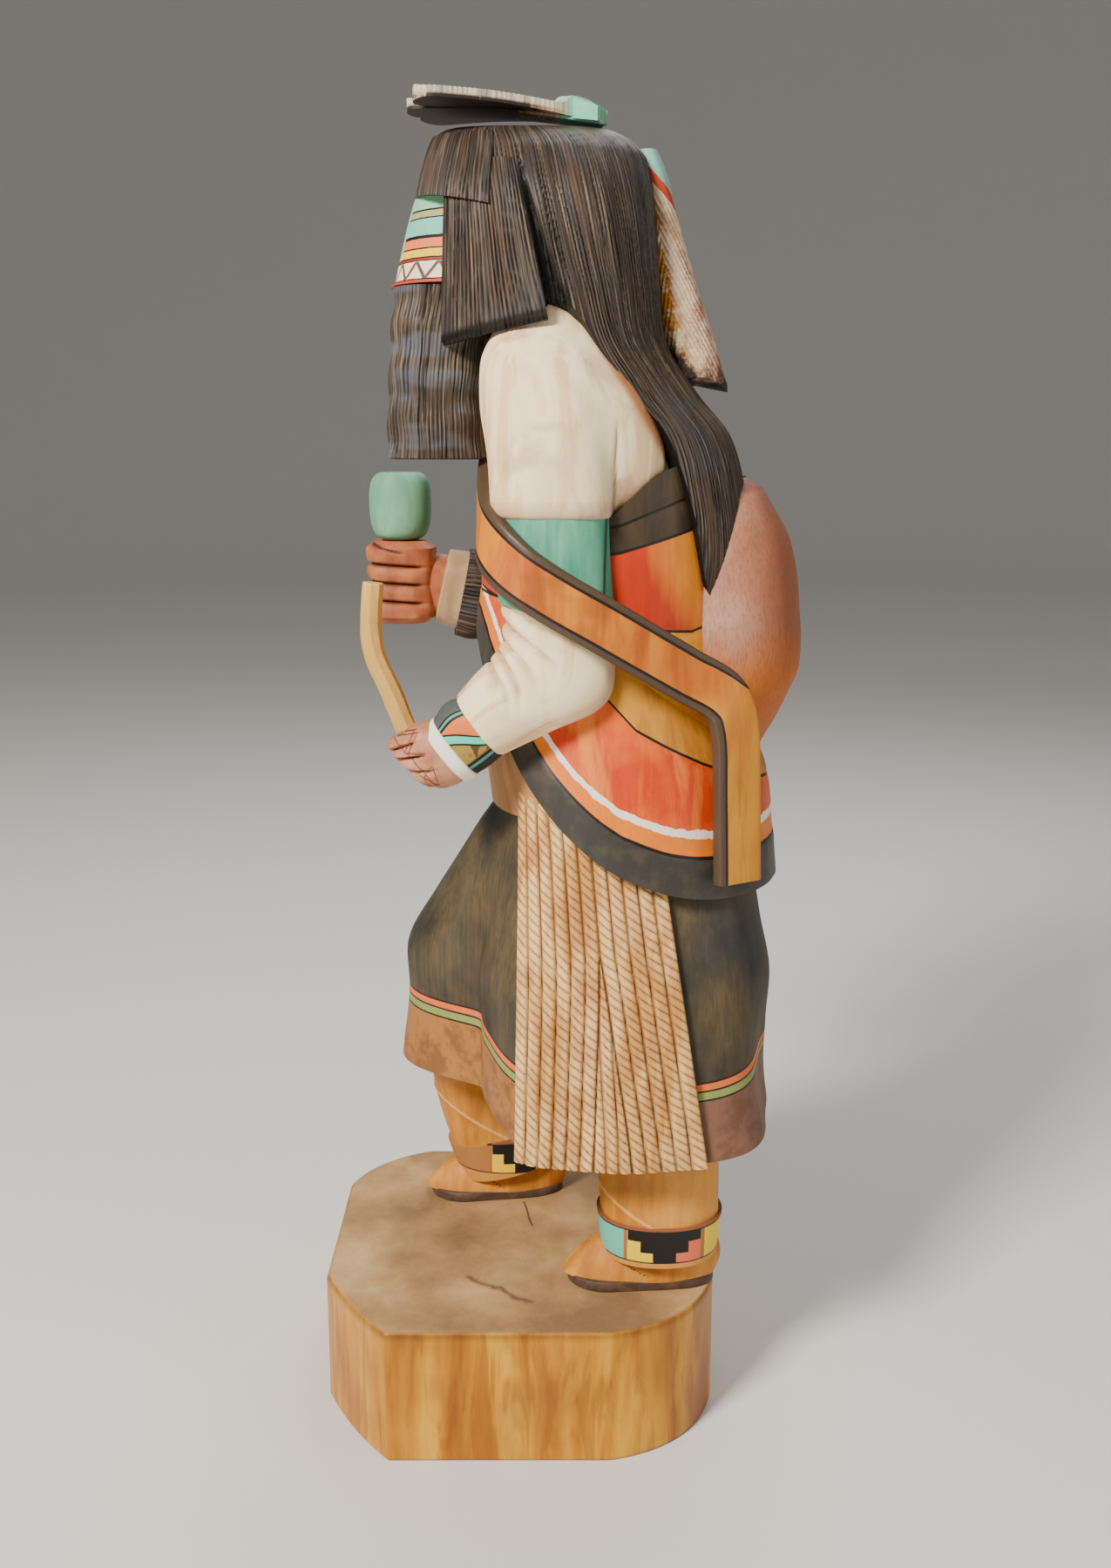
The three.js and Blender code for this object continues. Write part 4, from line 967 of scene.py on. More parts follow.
hair_paint = finish("combed_hair", hair_colour, 0x7E6C58, 0x080707, wear=0.2, grain=0.2, roughness=0.55)
beard_paint = finish("combed_beard", beard_colour, 0x7E6C58, 0x080707, wear=0.2, grain=0.2, roughness=0.55)
shirt_paint = finish("thin_white_paint", shirt_colour, 0xDDB48A, 0x6A4630, wear=0.35, mottle=0.1, grain=0.15)
turquoise = finish("turquoise_paint", blend(0x70B894, 0x44967A), 0xB0D0A8, 0x22302A, mottle=0.45, wear=0.62)
wrap_paint = finish("wrap_stains", wrap_colour, 0xD8925A, 0x1C0E08, grain=0.35, roughness=0.5, coat=0.1)
belt_paint = finish("belt_stain", blend(0xB98450, 0x9A6A3A), 0xD09A62, 0x24140C)
dress_paint = finish("charcoal_stain", dress_colour, 0x8A6C44, 0x120E0C, wear=0.5, grain=0.35)
strap_paint = finish("strap_stain", strap_colour, 0xD79A52, 0x1C1410, grain=0.3, roughness=0.5, coat=0.1)
mask_paint = finish("mask_paints", mask_colour, 0xC9B890, 0x14100E, mottle=0.15, wear=0.3)
sash_paint = finish("burnt_cords", sash_colour, 0xF6DCAE, 0x341806, wear=0.35, grain=0.35)
pack_paint = finish("pack_stain", pack_colour, 0xD2A284, 0x4A2416, grain=0.3)
cuff_paint = finish("painted_leather", cuff_colour, 0x8C8468, 0x100E0C, mottle=0.2)
band_paint = finish("ankle_band_paints", band_colour, 0xC9A070, 0x14100E, mottle=0.15, wear=0.3)
foot_paint = finish("moccasin_stain", foot_colour, 0xE2B27A, 0x2A1A10, grain=0.3)
leg_paint = finish("legging_stain", leg_colour, 0xDFAA58, 0x4A280C, grain=0.35, coat=0.1)
left_skin = finish("pale_hand_stain", hand_colour(0xC68E70, 0xA06044), 0xE6C0A8, 0x3A1A12, grain=0.2)
right_skin = finish("red_hand_stain", hand_colour(0xB86E46, 0x944E30), 0xC98A64, 0x1E0C08, grain=0.3)
white = finish("white_band", blend(0xF6EFE4), 0xE0CDB4, 0x5A4030, mottle=0.08)
beige = finish("beige_band", blend(0xB79A78, 0x9C7C58), 0xCDB494, 0x2A1C12)
sage = finish("sage_paint", blend(0x78B08E, 0x5F957A), 0xA8CBA6, 0x22302A, mottle=0.25)
straw = finish("peeled_stick", blend(0xDDB060, 0xC69A50), 0xE8CC90, 0x5A3C18, grain=0.3, lengthwise=True)
sleeve_paint = finish("sleeve_white", shirt_colour, 0xDDB48A, 0x6A4630, grain=0.15, wear=0.35, mottle=0.1,
                      lengthwise=True)
fur_cuff = finish("hairy_cuff", hair_colour, 0x5A4A3A, 0x080707, wear=0.1, lengthwise=True)
feather_paint = finish("feather_paint", feather_colour, 0xD8C4A4, 0x2A201A, grain=0.15)
plume_paint = finish("plume_paint", plume_colour, 0xD8C0A4, 0x3A2418, grain=0.15, wear=0.2)
block_wood = finish(
    "varnished_wood", block_colour, 0xC9985C, 0x2E1A0E, 1100.0, 0.3, 0.35, roughness=0.4, matte="top"
)
front_paint = finish("chest_stain_and_hair_shadow", front_colour, 0xDDB48A, 0x3A1A10, grain=0.3)


# The block


def block_outline(count):
    """Round the block: straight sides joined across the cut corners by quadratic curves."""
    half = (BLOCK_HIGH - BLOCK_LOW)[:2] / 2
    corners = (
        (1, -1, 34, 22, 0.18, True), (1, 1, 34, 34, 0.62, False),
        (-1, 1, 30, 30, 0.5, True), (-1, -1, 27, 27, 0.5, False),
    )
    t = np.linspace(0, 1, 60)[:, None]
    parts = []
    for sx, sy, cut_x, cut_y, fullness, x_first in corners:
        corner = half * [sx, sy]
        front, side = corner - [sx * cut_x, 0], corner - [0, sy * cut_y]
        start, end = (front, side) if x_first else (side, front)
        bend = (start + end) / 2 * (1 - fullness) + corner * fullness
        parts.append((1 - t) ** 2 * start + 2 * t * (1 - t) * bend + t**2 * end)
    return evenly(np.concatenate(parts + [parts[0][:1]]), count)


def block():
    """The outline carried up with worn edges, then drawn in over the top, which is slightly uneven."""
    sides, edge = 320, 1.2
    outline, far = block_outline(sides)
    arc = np.linspace(0, math.pi / 2, 5)
    shrink = np.concatenate([edge * (1 - np.sin(arc)), np.zeros(20), edge * (1 - np.cos(arc))])
    upright = np.linspace(edge, SOLES - edge, 22)[1:-1]
    z = np.concatenate([edge * (1 - np.cos(arc)), upright, SOLES - edge * (1 - np.sin(arc))])
    inward = unit(-outline)
    rings = outline[None] + inward[None] * shrink[:, None, None]
    share = np.linspace(0, 1, 30)[1:-1, None, None] ** 0.9
    level = np.concatenate([rings, rings[-1][None] * (1 - share)])
    v = np.concatenate([z, SOLES + share.ravel() * 60])
    heights = np.repeat(np.minimum(v, SOLES)[:, None], sides, 1)
    flat = np.clip((heights - (SOLES - 0.3)) / 0.3, 0, 1)
    uneven = heights + flat * 0.15 * hills(level[..., 0] / 9, level[..., 1] / 5, 3)
    grid = np.concatenate([level, uneven[..., None]], -1)
    edge_dirt = 0.45 * bell(heights - SOLES + 1, 0.9) * (v < SOLES)[:, None]
    return tube(grid, around_uv(far, np.repeat(v[:, None], sides, 1)), {"top": flat, "groove": edge_dirt})


make("block_body", block_wood, "base_block", block(), replaces="base_block", lift=0.0)


# The dress and what hangs on it


def dress():
    """The skin over both legs from the hem up; the mark "hem" is the height over the painted stripes."""
    turn, far = np.linspace(-math.pi, math.pi, 421)[:-1], np.linspace(-160, 160, 421)
    low = hem(turn)
    z = low + (DRESS_TOP - low) * np.linspace(0, 1, 80)[:, None]
    turns = np.broadcast_to(turn, z.shape)
    grid = dress_point(turns, z, carved(turns * 45, z, 9, 0.14, 11))
    marks = {"hem": z - low - STRIPES_UP, "fore": grid[..., 1]}
    under = ((0.02, 0.25), (0.05, 0.2), (0.08, -1.5), (0.12, -6), (0.6, -8))
    return tube(grid, around_uv(far, z), marks, low=under)


make("dress", dress_paint, "dress", dress())

SASH_TOP, SASH_LOW, CORDS, CORDS_FROM_FRONT = 162.0, 50.0, 11, 6


def sash():
    """Cords side by side with slanting burnt cuts: half-round ridges on the dress's left side. Below
    a height the eleven keep their pitch, and the wedge that opens between them is filled with more."""
    rows, columns = 250, 160
    up, side = np.linspace(0, 1, rows)[:, None], np.linspace(0, 1, columns)[None]
    z = SASH_LOW + (SASH_TOP - SASH_LOW) * up
    height = np.maximum(z, hem(np.zeros(1)))
    front, back = turn_at(2 * up, height), turn_at(56 - 17 * up, height)
    turn = front + (back - front) * side
    height = np.broadcast_to(height, turn.shape)
    width = 56 - 19 * up
    pitch = np.minimum(width, 45) / CORDS
    across = side * width
    gap, begins = width - pitch * CORDS, CORDS_FROM_FRONT * pitch
    q = np.where(across < begins, across / pitch, np.where(
        across < begins + gap, (across - begins - gap / 2) / 3.5 + 30.5, (across - width) / pitch + 60))
    seam = np.minimum(np.abs(across - begins), np.abs(across - begins - gap)) + (gap < 0.2) * 9
    ridge = np.abs(np.sin(q * math.pi)) * np.clip(seam / 0.6, 0, 1)
    twist = (z / 2.9 + (q % 1) * 1.2 + 0.2 * np.sin(np.floor(q) * 5) + 0.12 * hills(q, z / 7, 13)) % 1
    cut = bell(np.minimum(twist, 1 - twist), 0.1) * ridge**0.3
    push = 3.4 - 1.1 * (1 - ridge) ** 2.5 - 0.4 * cut
    face, inner = dress_point(turn, height, push), dress_point(turn, height, -SUNK)
    for grid in (face, inner):
        grid[..., 2] = np.broadcast_to(z, turn.shape)
    uv = np.stack([np.broadcast_to(across, q.shape), np.broadcast_to(z, q.shape)], -1)
    return layer(face, inner, uv, {"groove": np.maximum(cut, (1 - ridge) ** 4)})


make("sash_cords", sash_paint, "sash", sash())

# Painted lines of the shawl, as (y, height): the left side's, used on both
SHAWL_LINES = {
    "tan_line": [
        (-40, 230), (0, 215), (10, 205), (24.4, 191.7),
        (34.6, 180.8), (44.5, 175.2), (55.2, 169.8), (80, 160),
    ],
    "panel_line": [(-40, 222), (30, 212), (41.6, 208.7), (51.3, 207.8), (59.7, 210.4), (80, 216)],
    "band_low": [(-40, 222), (29.7, 231.1), (40.4, 234), (51.5, 237.2), (80, 244)],
    "band_mid": [(-40, 228), (29.7, 238.6), (37.8, 241.8), (49.1, 245.9), (80, 255)],
}
SHAWL_MIDDLE = [0, 28]


def shawl():
    """A leaning oval between a swept lower edge and a top that rises behind. The mark "rim" is 0 at
    the edge and 1 at the border's top, measured square to the slope; the others are over each line."""
    grid, uv, turn, z = stack(
        SHAWL, 78, 400, 2.1, shawl_edge, shawl_top, lambda turn, z, far: carved(far, z, 8, 0.14, 21),
        start=-math.pi / 2,
    )
    y = grid[..., 1]
    stride = np.maximum(np.hypot(*np.gradient(grid[0, :, :2], axis=0).T), 0.05)
    slope = np.gradient(shawl_edge(turn[0])) / stride
    rise = (z - shawl_edge(turn)) / np.sqrt(1 + slope**2)
    rim = rise / (9.2 + 0.055 * y)
    marks = {key: z - np.interp(y, *zip(*line)) for key, line in SHAWL_LINES.items()}
    burnt = sum(bell(over, 0.7) for over in marks.values())
    step = 0.5 * ramp_up(1.0, rim, 0.04) - 0.35 * np.minimum(burnt, 1)
    grid[..., :2] += unit(grid[..., :2] - SHAWL_MIDDLE) * step[..., None]
    return tube(grid, uv, {"rim": rim, "fore": y, **marks})


make("shawl", wrap_paint, "shawl", shawl())
make("belt", belt_paint, "sash", tube(*stack(BELT, 20, 130, 2.2)[:2]))
make("shirt_front", front_paint, "shirt", tube(*stack(TORSO, 24, 110, 2.2)[:2]))

PACK_NECK, PLEAT = 172, 4.4
TIE = [[161.2, 0, 61, 12.8, 12.6], [162, 0, 61, 14, 13.8], [164, 0, 61, 14.2, 14], [165, 0, 61, 13, 12.9]]


def pack():
    """A bulging bag: knife marks above, and below the tie's height a neck drawn into pleats."""
    def swell(turn, z, far):
        pleats = ramp_up(PACK_NECK, z, 1.5) * (np.abs(np.sin(far * math.pi / PLEAT)) - 0.6) * 1.3
        return pleats + carved(far, z, 11, 0.3, 81)
    grid, uv, _, z = stack(PACK, 66, 210, 2.1, swell=swell)
    pleat = ramp_up(PACK_NECK, z, 1.5) * (1 - np.abs(np.sin(uv[:, :-1, 0] * math.pi / PLEAT))) ** 2
    return tube(grid, uv, {"groove": pleat}, high=ROUNDED)


make("pack", pack_paint, "pack", pack())
make("pack_tie", beige, "strap", tube(*stack(TIE, 10, 120)[:2]))


def strap():
    """A flat band along its path. The mark "side" is millimetres across it, and "tail" is its end
    that hangs behind the hip."""
    rows = [[x, y, z, STRAP_WIDTH / 2, STRAP_THICKNESS / 2] for x, y, z, _, _ in STRAP]
    out = [[ox, oy, 0] for _, _, _, ox, oy in STRAP]
    grid, uv, turn, _ = limb(rows, 190, 72, 7, out)
    across = STRAP_WIDTH / 2 * oval(turn, 7)[0]
    tail = ramp_up(190, grid[..., 2], 2) * (grid[..., 1] > 50)
    return tube(grid, uv, {"side": across, "tail": tail})


make("strap", strap_paint, "strap", strap())


# Head and hair


def mask():
    """The head up to where the hair hides it, flaring a little at its painted lower border."""
    rows = [row for row in HEAD if row[0] < 340] + [[339, 0, -3.4, 23, 21.6]]
    def swell(turn, z, far):
        return ramp_up(306.6, z, 0.25) - 3.5 * ramp_up(305.2, z, 0.12) - 0.7 * ramp_up(z, 334, 2)
    grid, uv, _, z = stack(rows, 90, 150, 2.2, swell=swell)
    marks = {"high": z, "aside": np.abs(grid[..., 0]), "far": uv[:, :-1, 0]}
    return tube(grid, uv, marks)


make("mask", mask_paint, "mask", mask())


def beard():
    """Stacked ovals grooved by the comb, with a slow wave across the strands."""
    comb = (1.3, 0.55, 31)

    def swell(turn, z, far):
        return strands(far, z, *comb)[0] + 0.35 * np.sin(z / 2.1 + np.sin(far / 5))

    grid, uv, _, z = stack(BEARD, 48, 390, 3.2, swell=swell)
    groove = strands(uv[:, :-1, 0], z, *comb)[1] ** 1.5 * 0.9
    return tube(grid, uv, {"groove": groove}, low=ROUNDED)


make("beard", beard_paint, "hair", beard())

# Where the lock over the ear ends and the long hair begins, as (height, y)
LOCK_REAR = [(294.7, 10.2), (340, 0.6)]
HAIR_FRONT = [(299.5, 15.7), (305.2, 12.1), (318.8, 7.4), (332.8, 2.6)]


def wedge(grid):
    """1 in the gap between the ear lock and the long hair, which is cut back and black."""
    x, y, z = np.moveaxis(grid, -1, 0)
    front, back = (np.interp(z, *zip(*line)) for line in (LOCK_REAR, HAIR_FRONT))
    inside = ramp_up(y, front - 0.5, 0.25) * ramp_up(back, y, 0.25)
    return inside * ramp_up(336, z, 0.8) * (np.abs(x) > 15)


def hair():
    """Combed strands over a smooth mass, with the cut wedges behind the ear locks pressed in."""
    def swept(turn, z, far):
        return far + 120 - 0.2 * np.cos(turn) * np.minimum(350 - z, 70)
    def swell(turn, z, far):
        lock = 0.5 * hills(swept(turn, z, far) / 7, z / 45, 45)
        return (strands(swept(turn, z, far), z, 1.3, 0.7, 41)[0] + lock) * ramp_up(347, z, 1.5)
    grid, uv, turn, z = stack(HAIR, 106, 680, HAIR_POWER, hair_edge, swell=swell, crowding=1.9)
    black = wedge(grid)
    grid[..., :2] += unit([0, 10] - grid[..., :2]) * (2.6 * black)[..., None]
    combed = swept(turn, z, uv[:, :-1, 0])
    uv[:, :-1, 0] = combed
    uv[:, -1, 0] = combed[:, 0] + uv[:, -1, 0]
    groove = strands(combed, z, 1.3, 0.7, 41)[1] ** 1.5 * 0.9
    return tube(grid, uv, {"groove": groove, "wedge": black})


make("hair", hair_paint, "hair", hair(), sharp=60)


def hair_at(side, y, z, proud):
    """A point on the hair's surface at a given y, on the side of the sign given."""
    mx, my, ax, ay = np.moveaxis(along(HAIR, z), -1, 0)
    share = np.minimum(np.abs((y - my) / ay), 0.97)
    x = mx + ax * (1 - share**HAIR_POWER) ** (1 / HAIR_POWER) + proud
    return np.stack([side * x, y, z], -1)


def ear_lock(side):
    """The lock over an ear: a layer that thickens downwards and is cut off square, with a step where
    one lock overlaps the next. The lowest rows fold in under it and are black."""
    rows, columns = 90, 120
    up, across = np.linspace(0, 1, rows)[:, None], np.linspace(0, 1, columns)[None]
    low = 288 + 6.5 * across
    z = low + (338 - low) * up
    y = (-21 + 2 * up) + ((9.5 - 9.5 * up) - (-21 + 2 * up)) * across
    far = across * 31 + 0 * up
    push, groove = strands(far, z, 1.35, 0.55, 51 + side)
    step = 0.8 * ramp_up(0.36 + 0.2 * up, across, 0.02) * (1 - up)
    under = ramp_up(0.035, up, 0.008)
    proud = 3.4 - 2.9 * up + step + push - 2.4 * under
    uv = np.stack([far, z], -1)
    marks = {"groove": groove**1.5 * 0.9, "wedge": ramp_up(0.06, up, 0.006) + 0 * across}
    return layer(hair_at(side, y, z, proud), hair_at(side, y, z, -SUNK + 0 * z), uv, marks)


def fringe():
    """Short hair over the forehead: a layer round the front of the crown, cut off level."""
    up, side = np.linspace(0, 1, 40)[:, None], np.linspace(-1, 1, 360)[None]
    aside = side * 73
    turn = (-90 + aside) * DEGREE + 0 * up
    z = (330 - 5 * side**2) + (347 - (330 - 5 * side**2)) * up
    mx, my, ax, ay = np.moveaxis(along(HAIR, z), -1, 0)
    c, s = oval(turn, HAIR_POWER)
    far = aside * 0.62 + 0 * up
    push, groove = strands(far + 60, z, 1.2, 0.5, 61)
    grids = []
    for proud in (2.2 * (1 - 0.5 * up) + push, -SUNK + 0 * z):
        grids.append(np.stack([mx + (ax + proud) * c, my + (ay + proud) * s, z], -1))
    return layer(*grids, np.stack([far, z], -1), {"groove": groove**1.5 * 0.9})


make("ear_locks", hair_paint, "hair", ear_lock(1), ear_lock(-1))
make("fringe", hair_paint, "hair", fringe())


# Arms

SLEEVE_SPAN = (242, 302)  # from the armband up to where the hair hides the shoulder
HAIR_OVER_SHIRT = [(-40, 330), (15.7, 299.5), (26.6, 282.2), (36.4, 266.8), (44.6, 253.7), (60, 226)]


def upper_sleeve(side):
    """Shoulder and upper arm under one skin, singed along the hair, with a crease behind the arm."""
    rings, sides = 46, 180
    turn = np.linspace(-math.pi, math.pi, sides + 1)[:-1]
    z = np.broadcast_to(np.linspace(*SLEEVE_SPAN, rings)[:, None], (rings, sides))
    turns = np.broadcast_to(turn, z.shape)
    lift = ramp_up(z, 278, 24)
    middle = (32 - 11 * lift, 13 - 9 * lift)  # leans in with the shoulder, to stay inside it
    r = skin(((SHOULDER, 2), (UPPER_ARM, 2.4)), middle, turns, z, 0.5)
    r = r + carved(turns * 22, z, 10, 0.3, 71)
    grid = around(middle, turns, z, r)
    y = grid[..., 1]
    crease = bell(y - 27.6 - (z - 242) * 0.04, 0.5) * ramp_up(268, z, 2) * (grid[..., 0] > 32)
    grid[..., 0] -= 0.6 * crease
    singe = ramp_up(z - np.interp(y, *zip(*HAIR_OVER_SHIRT)), -0.4, 0.7)
    # The fold mark paints shade on the sleeve's lowest rim, where it meets the armband.
    marks = {"groove": crease * 0.7, "singe": singe, "fold": 0.6 * ramp_up(245, z, 0.6)}
    uv = around_uv(np.linspace(0, 138, sides + 1), z)
    low = ((0.03, 1.0), (0.1, 1.6), (0.5, 1.7))
    return tube(grid * [side, 1, 1], uv, marks, low=low, high=ROUNDED)


def armband(side):
    """A painted band above the elbow, with a dark line near its rear edge."""
    grid, uv, _, z = stack(
        UPPER_ARM, 24, 180, 2.4, lambda t: 208 + 11 * ramp_up(-np.sin(t), 0.1, 0.5), lambda t: 244 + 0 * t,
        lambda turn, z, far: 0.65 * ramp_up(222, z, 3) - 0.9
    )
    line = bell(grid[..., 1] - 25.6 + (240 - z) * 0.03, 0.45) * (grid[..., 0] > 30)
    return tube(grid * [side, 1, 1], uv, {"groove": line})


make("sleeve_tops", shirt_paint, "shirt", upper_sleeve(1), upper_sleeve(-1))
make("armbands", turquoise, "mask", armband(1), armband(-1))

LEFT_SLEEVE = [
    [28.2, 210.5, -4.4, 222.5, 39.2, 13.6], [28.8, 201.5, -3.6, 207.5, 40, 13.8],
    [28.3, 192.5, -5.6, 203, 40.6, 13.6], [23.5, 186.3, -8.6, 199.6, 41, 13.5],
    [12, 181.2, -11.6, 196.6, 41, 13.2], [3, 176.6, -14.4, 193.4, 40.6, 12.6],
    [-3.4, 173.4, -16.6, 190.6, 40.2, 11.8],
]
# Folds of the left sleeve, as (place along it, slant, depth)
SLEEVE_FOLDS = ((5, 4, 1.2), (10.5, 8, 1.8), (16.5, 12, 1.5), (22, 14, 1.9), (27, 12, 1.2))


def left_sleeve():
    """The bent elbow between its outlines, with folds that fan out from the inside of the bend."""
    def folds(turn, v):
        s = oval(turn, 2.3)[1]
        return [bell(v - place + slant * (s - 0.7), 0.95) * ramp_up(s, 0.15, 0.12) * depth
                for place, slant, depth in SLEEVE_FOLDS]
    grid, uv, turn, v = ribbed(
        LEFT_SLEEVE, 80, 160, 2.3, lambda turn, v, far: carved(far, v, 9, 0.25, 73) - sum(folds(turn, v))
    )
    # The fold mark paints shade in the folds and along the underside of the elbow.
    fold = np.clip(sum(folds(turn, v)) * 0.7, 0, 1) * (0.6 + 0.4 * hills(v / 3, turn * 4, 75))
    elbow = bell(v - 22, 8) * ramp_up(-oval(turn, 2.3)[1], 0.75, 0.05) * 0.7
    return tube(grid, uv, {"fold": np.maximum(fold, elbow)}, high=((0.05, 0.7), (0.12, 0.8), (0.5, 0.8)))


make("left_sleeve", sleeve_paint, "shirt", left_sleeve())

LEFT_CUFF = [
    [-2.2, 174.4, -15.4, 189.6, 38.6, 10.4], [-7.6, 169.6, -20.4, 187.6, 37.8, 10.8],
    [-11.9, 166.8, -24, 182.8, 37, 10.2],
]
LEFT_BRACELET = [[-11, 166.6, -24, 183, 37.2, 10.8], [-13.8, 164.8, -26.8, 180.8, 36.4, 10.6]]
LEFT_HAND = [
    [-13.5, 166.4, -24.6, 182.4, 36.8, 9.6], [-17.8, 163.4, -28.6, 181.6, 36, 9.8],
    [-22.6, 162.2, -33, 179.8, 34.8, 9.8], [-26.6, 164, -36.4, 177.4, 33.4, 9],
    [-28.6, 166.4, -37.6, 175.8, 32.4, 7.2],
]
# Painted lines on the back of the left hand, as pairs of (y, height)
PEN_LINES = [
    (-34.8, 178.9, -28.6, 180.6), (-34.2, 178.3, -27.9, 180.0), (-29.3, 180.2, -31.9, 174.2),
    (-28.4, 179.4, -30.9, 174.0), (-31.9, 174.0, -25.9, 174.2), (-31.4, 172.9, -26.2, 173.5),
    (-35.4, 177.8, -31.6, 174.0), (-31.0, 173.9, -23.2, 164.4), (-24.2, 170.6, -26.4, 167.0),
    (-23.7, 170.1, -22.2, 164.6), (-27.8, 167.5, -22.4, 164.4),
]


def line_distance(y, z, lines):
    """How far each point is from the nearest of the straight lines, in millimetres."""
    nearest = np.full(y.shape, 9.0)
    for ya, za, yb, zb in lines:
        dy, dz = yb - ya, zb - za
        share = np.clip(((y - ya) * dy + (z - za) * dz) / (dy * dy + dz * dz), 0, 1)
        nearest = np.minimum(nearest, np.hypot(y - ya - share * dy, z - za - share * dz))
    return nearest


def left_cuff():
    grid, uv, turn, v = ribbed(LEFT_CUFF, 30, 160, 2.4)
    return tube(grid, uv, {"lie": oval(turn, 2.4)[1], "length": v / v.max()})


def left_hand():
    """A closed hand seen from the back: four knuckles across its end, parted by grooves."""
    def parts(turn, v):
        finger = np.interp(oval(turn, 2.4)[1], [-1, -0.3, 0.2, 0.62, 1], [3.9, 3, 2, 1, 0.1])
        return np.abs(np.sin(math.pi * finger)), ramp_up(v, 8.5, 1.2)
    def swell(turn, v, far):
        knuckle, outer = parts(turn, v)
        return -1.9 * bell(knuckle, 0.3) * outer - 0.5 * bell(v - 9.5, 0.8)
    grid, uv, turn, v = ribbed(LEFT_HAND, 70, 170, 2.4, swell)
    knuckle, outer = parts(turn, v)
    reach_out = (3.4 * knuckle**0.5 - 2.4) * outer
    grid[..., 1:] += unit(np.array([-1.0, -0.95])) * reach_out[..., None]
    pen = np.where(grid[..., 0] > 36, line_distance(grid[..., 1], grid[..., 2], PEN_LINES), 9.0)
    marks = {"groove": bell(knuckle, 0.12) * outer * 0.8, "pen": pen}
    return tube(grid, uv, marks, high=((0.1, 0.9), (0.3, 1.9), (0.6, 2.5)))


make("left_cuff", cuff_paint, "strap", left_cuff())
bracelet = tube(*ribbed(LEFT_BRACELET, 12, 140, 2.4)[:2], low=ROUNDED, high=ROUNDED)
make("left_bracelet", white, "shirt", bracelet)
make("left_hand", left_skin, "skin", left_hand())

RIGHT_SLEEVE = [
    [-39.5, 11.5, 222, 16, 13.5], [-40, 12.4, 212, 16, 13.5], [-41, 13, 204.5, 14.5, 13],
    [-40, 2, 207, 14.2, 13], [-38, -8, 210, 12.4, 12],
]
RIGHT_CUFF = [[-38, -7, 210, 12.6, 10.4], [-37, -14, 211.5, 14.8, 11.6], [-36.6, -19.4, 212.6, 14.4, 11.2]]
RIGHT_BAND = [[-36.4, -18.6, 213.2, 12.8, 10], [-36, -25.6, 214.8, 12.2, 9.6]]
RIGHT_WRIST = [[-36.2, -24, 214.6, 10, 8], [-35.4, -33, 215.5, 11, 8.4]]
FIST_AT, FIST_HEIGHT = (-35, -39.2, 216.4), 26.6
FINGER_CUTS = (210.3, 216.2, 222)


def right_cuff():
    swell = lambda turn, v, far: strands(far, v, 1.4, 0.8, 91)[0]
    grid, uv, _, v = limb(RIGHT_CUFF, 30, 260, 2.4, swell=swell)
    return tube(grid, uv, {"groove": strands(uv[:, :-1, 0], v, 1.4, 0.8, 91)[1] ** 2})


def right_fist():
    """An upright fist: rounded fingers parted by deep burnt cuts that run back from their tips."""
    fx, fy, fz = FIST_AT
    turn = np.linspace(-math.pi, math.pi, 145)[:-1]
    rise = np.linspace(0, 1, 84)[:, None]
    z = fz + FIST_HEIGHT * (rise - 0.5) + 0 * turn
    c, s = oval(turn, 2.8)
    fingers = ramp_up(-(fy + 11.4 * s), 31.5, 0.7)
    nearest = np.min([np.abs(z - cut + 0.06 * (fy + 11.4 * s + 40)) for cut in FINGER_CUTS], axis=0)
    cut = bell(nearest, 0.5) * fingers
    thumb = bell(z - 227 + 0.25 * (fy + 11.4 * s + 42), 0.35) * ramp_up(-11.4 * s, -1, 0.5) * (c > 0)
    full = np.minimum(1, 0.75 + np.sin(math.pi * rise)) * (1 + 0.025 * hills(turn * 3, z / 6, 95))
    size = (11.4 - 0.7 * bell(nearest, 2.0) * fingers - 1.5 * cut - 0.8 * thumb) * full
    grid = np.stack([fx + size * c, fy + size * s, z], -1)
    marks = {"groove": np.maximum(cut, thumb), "pen": 9.0}
    return tube(grid, around_uv(np.linspace(0, 70, 145), z), marks)


make("right_sleeve", sleeve_paint, "shirt", tube(*limb(RIGHT_SLEEVE, 50, 150, 2.4)[:2]))
make("right_cuff", fur_cuff, "hair", right_cuff())
band = tube(*limb(RIGHT_BAND, 16, 140, 2.4)[:2], low=ROUNDED, high=ROUNDED)
make("right_band", beige, "strap", band)
wrist = tube(*limb(RIGHT_WRIST, 20, 120, 2.4)[:2], {"pen": 9.0})
make("right_hand", right_skin, "skin", right_fist(), wrist)


# Legs and feet

LEFT_LEG = [[27, 44.5, 10, 17, 14.5], [27, 44.5, 20, 18.6, 15.5], [26, 44, 40, 19, 16], [24, 43, 66, 20, 17]]
RIGHT_LEG = [
    [-34, -5, 10, 16.5, 14.5], [-34, -8, 22, 17.6, 15.2], [-33, -12, 40, 18.4, 16], [-30, -15, 66, 19, 17],
]
LEFT_HEEL, RIGHT_HEEL = (28, 62), (-34, 14)
FOOT_LENGTH = 51
FOOT_CREASE = [(-29, 9, -21.5, 4.6)]


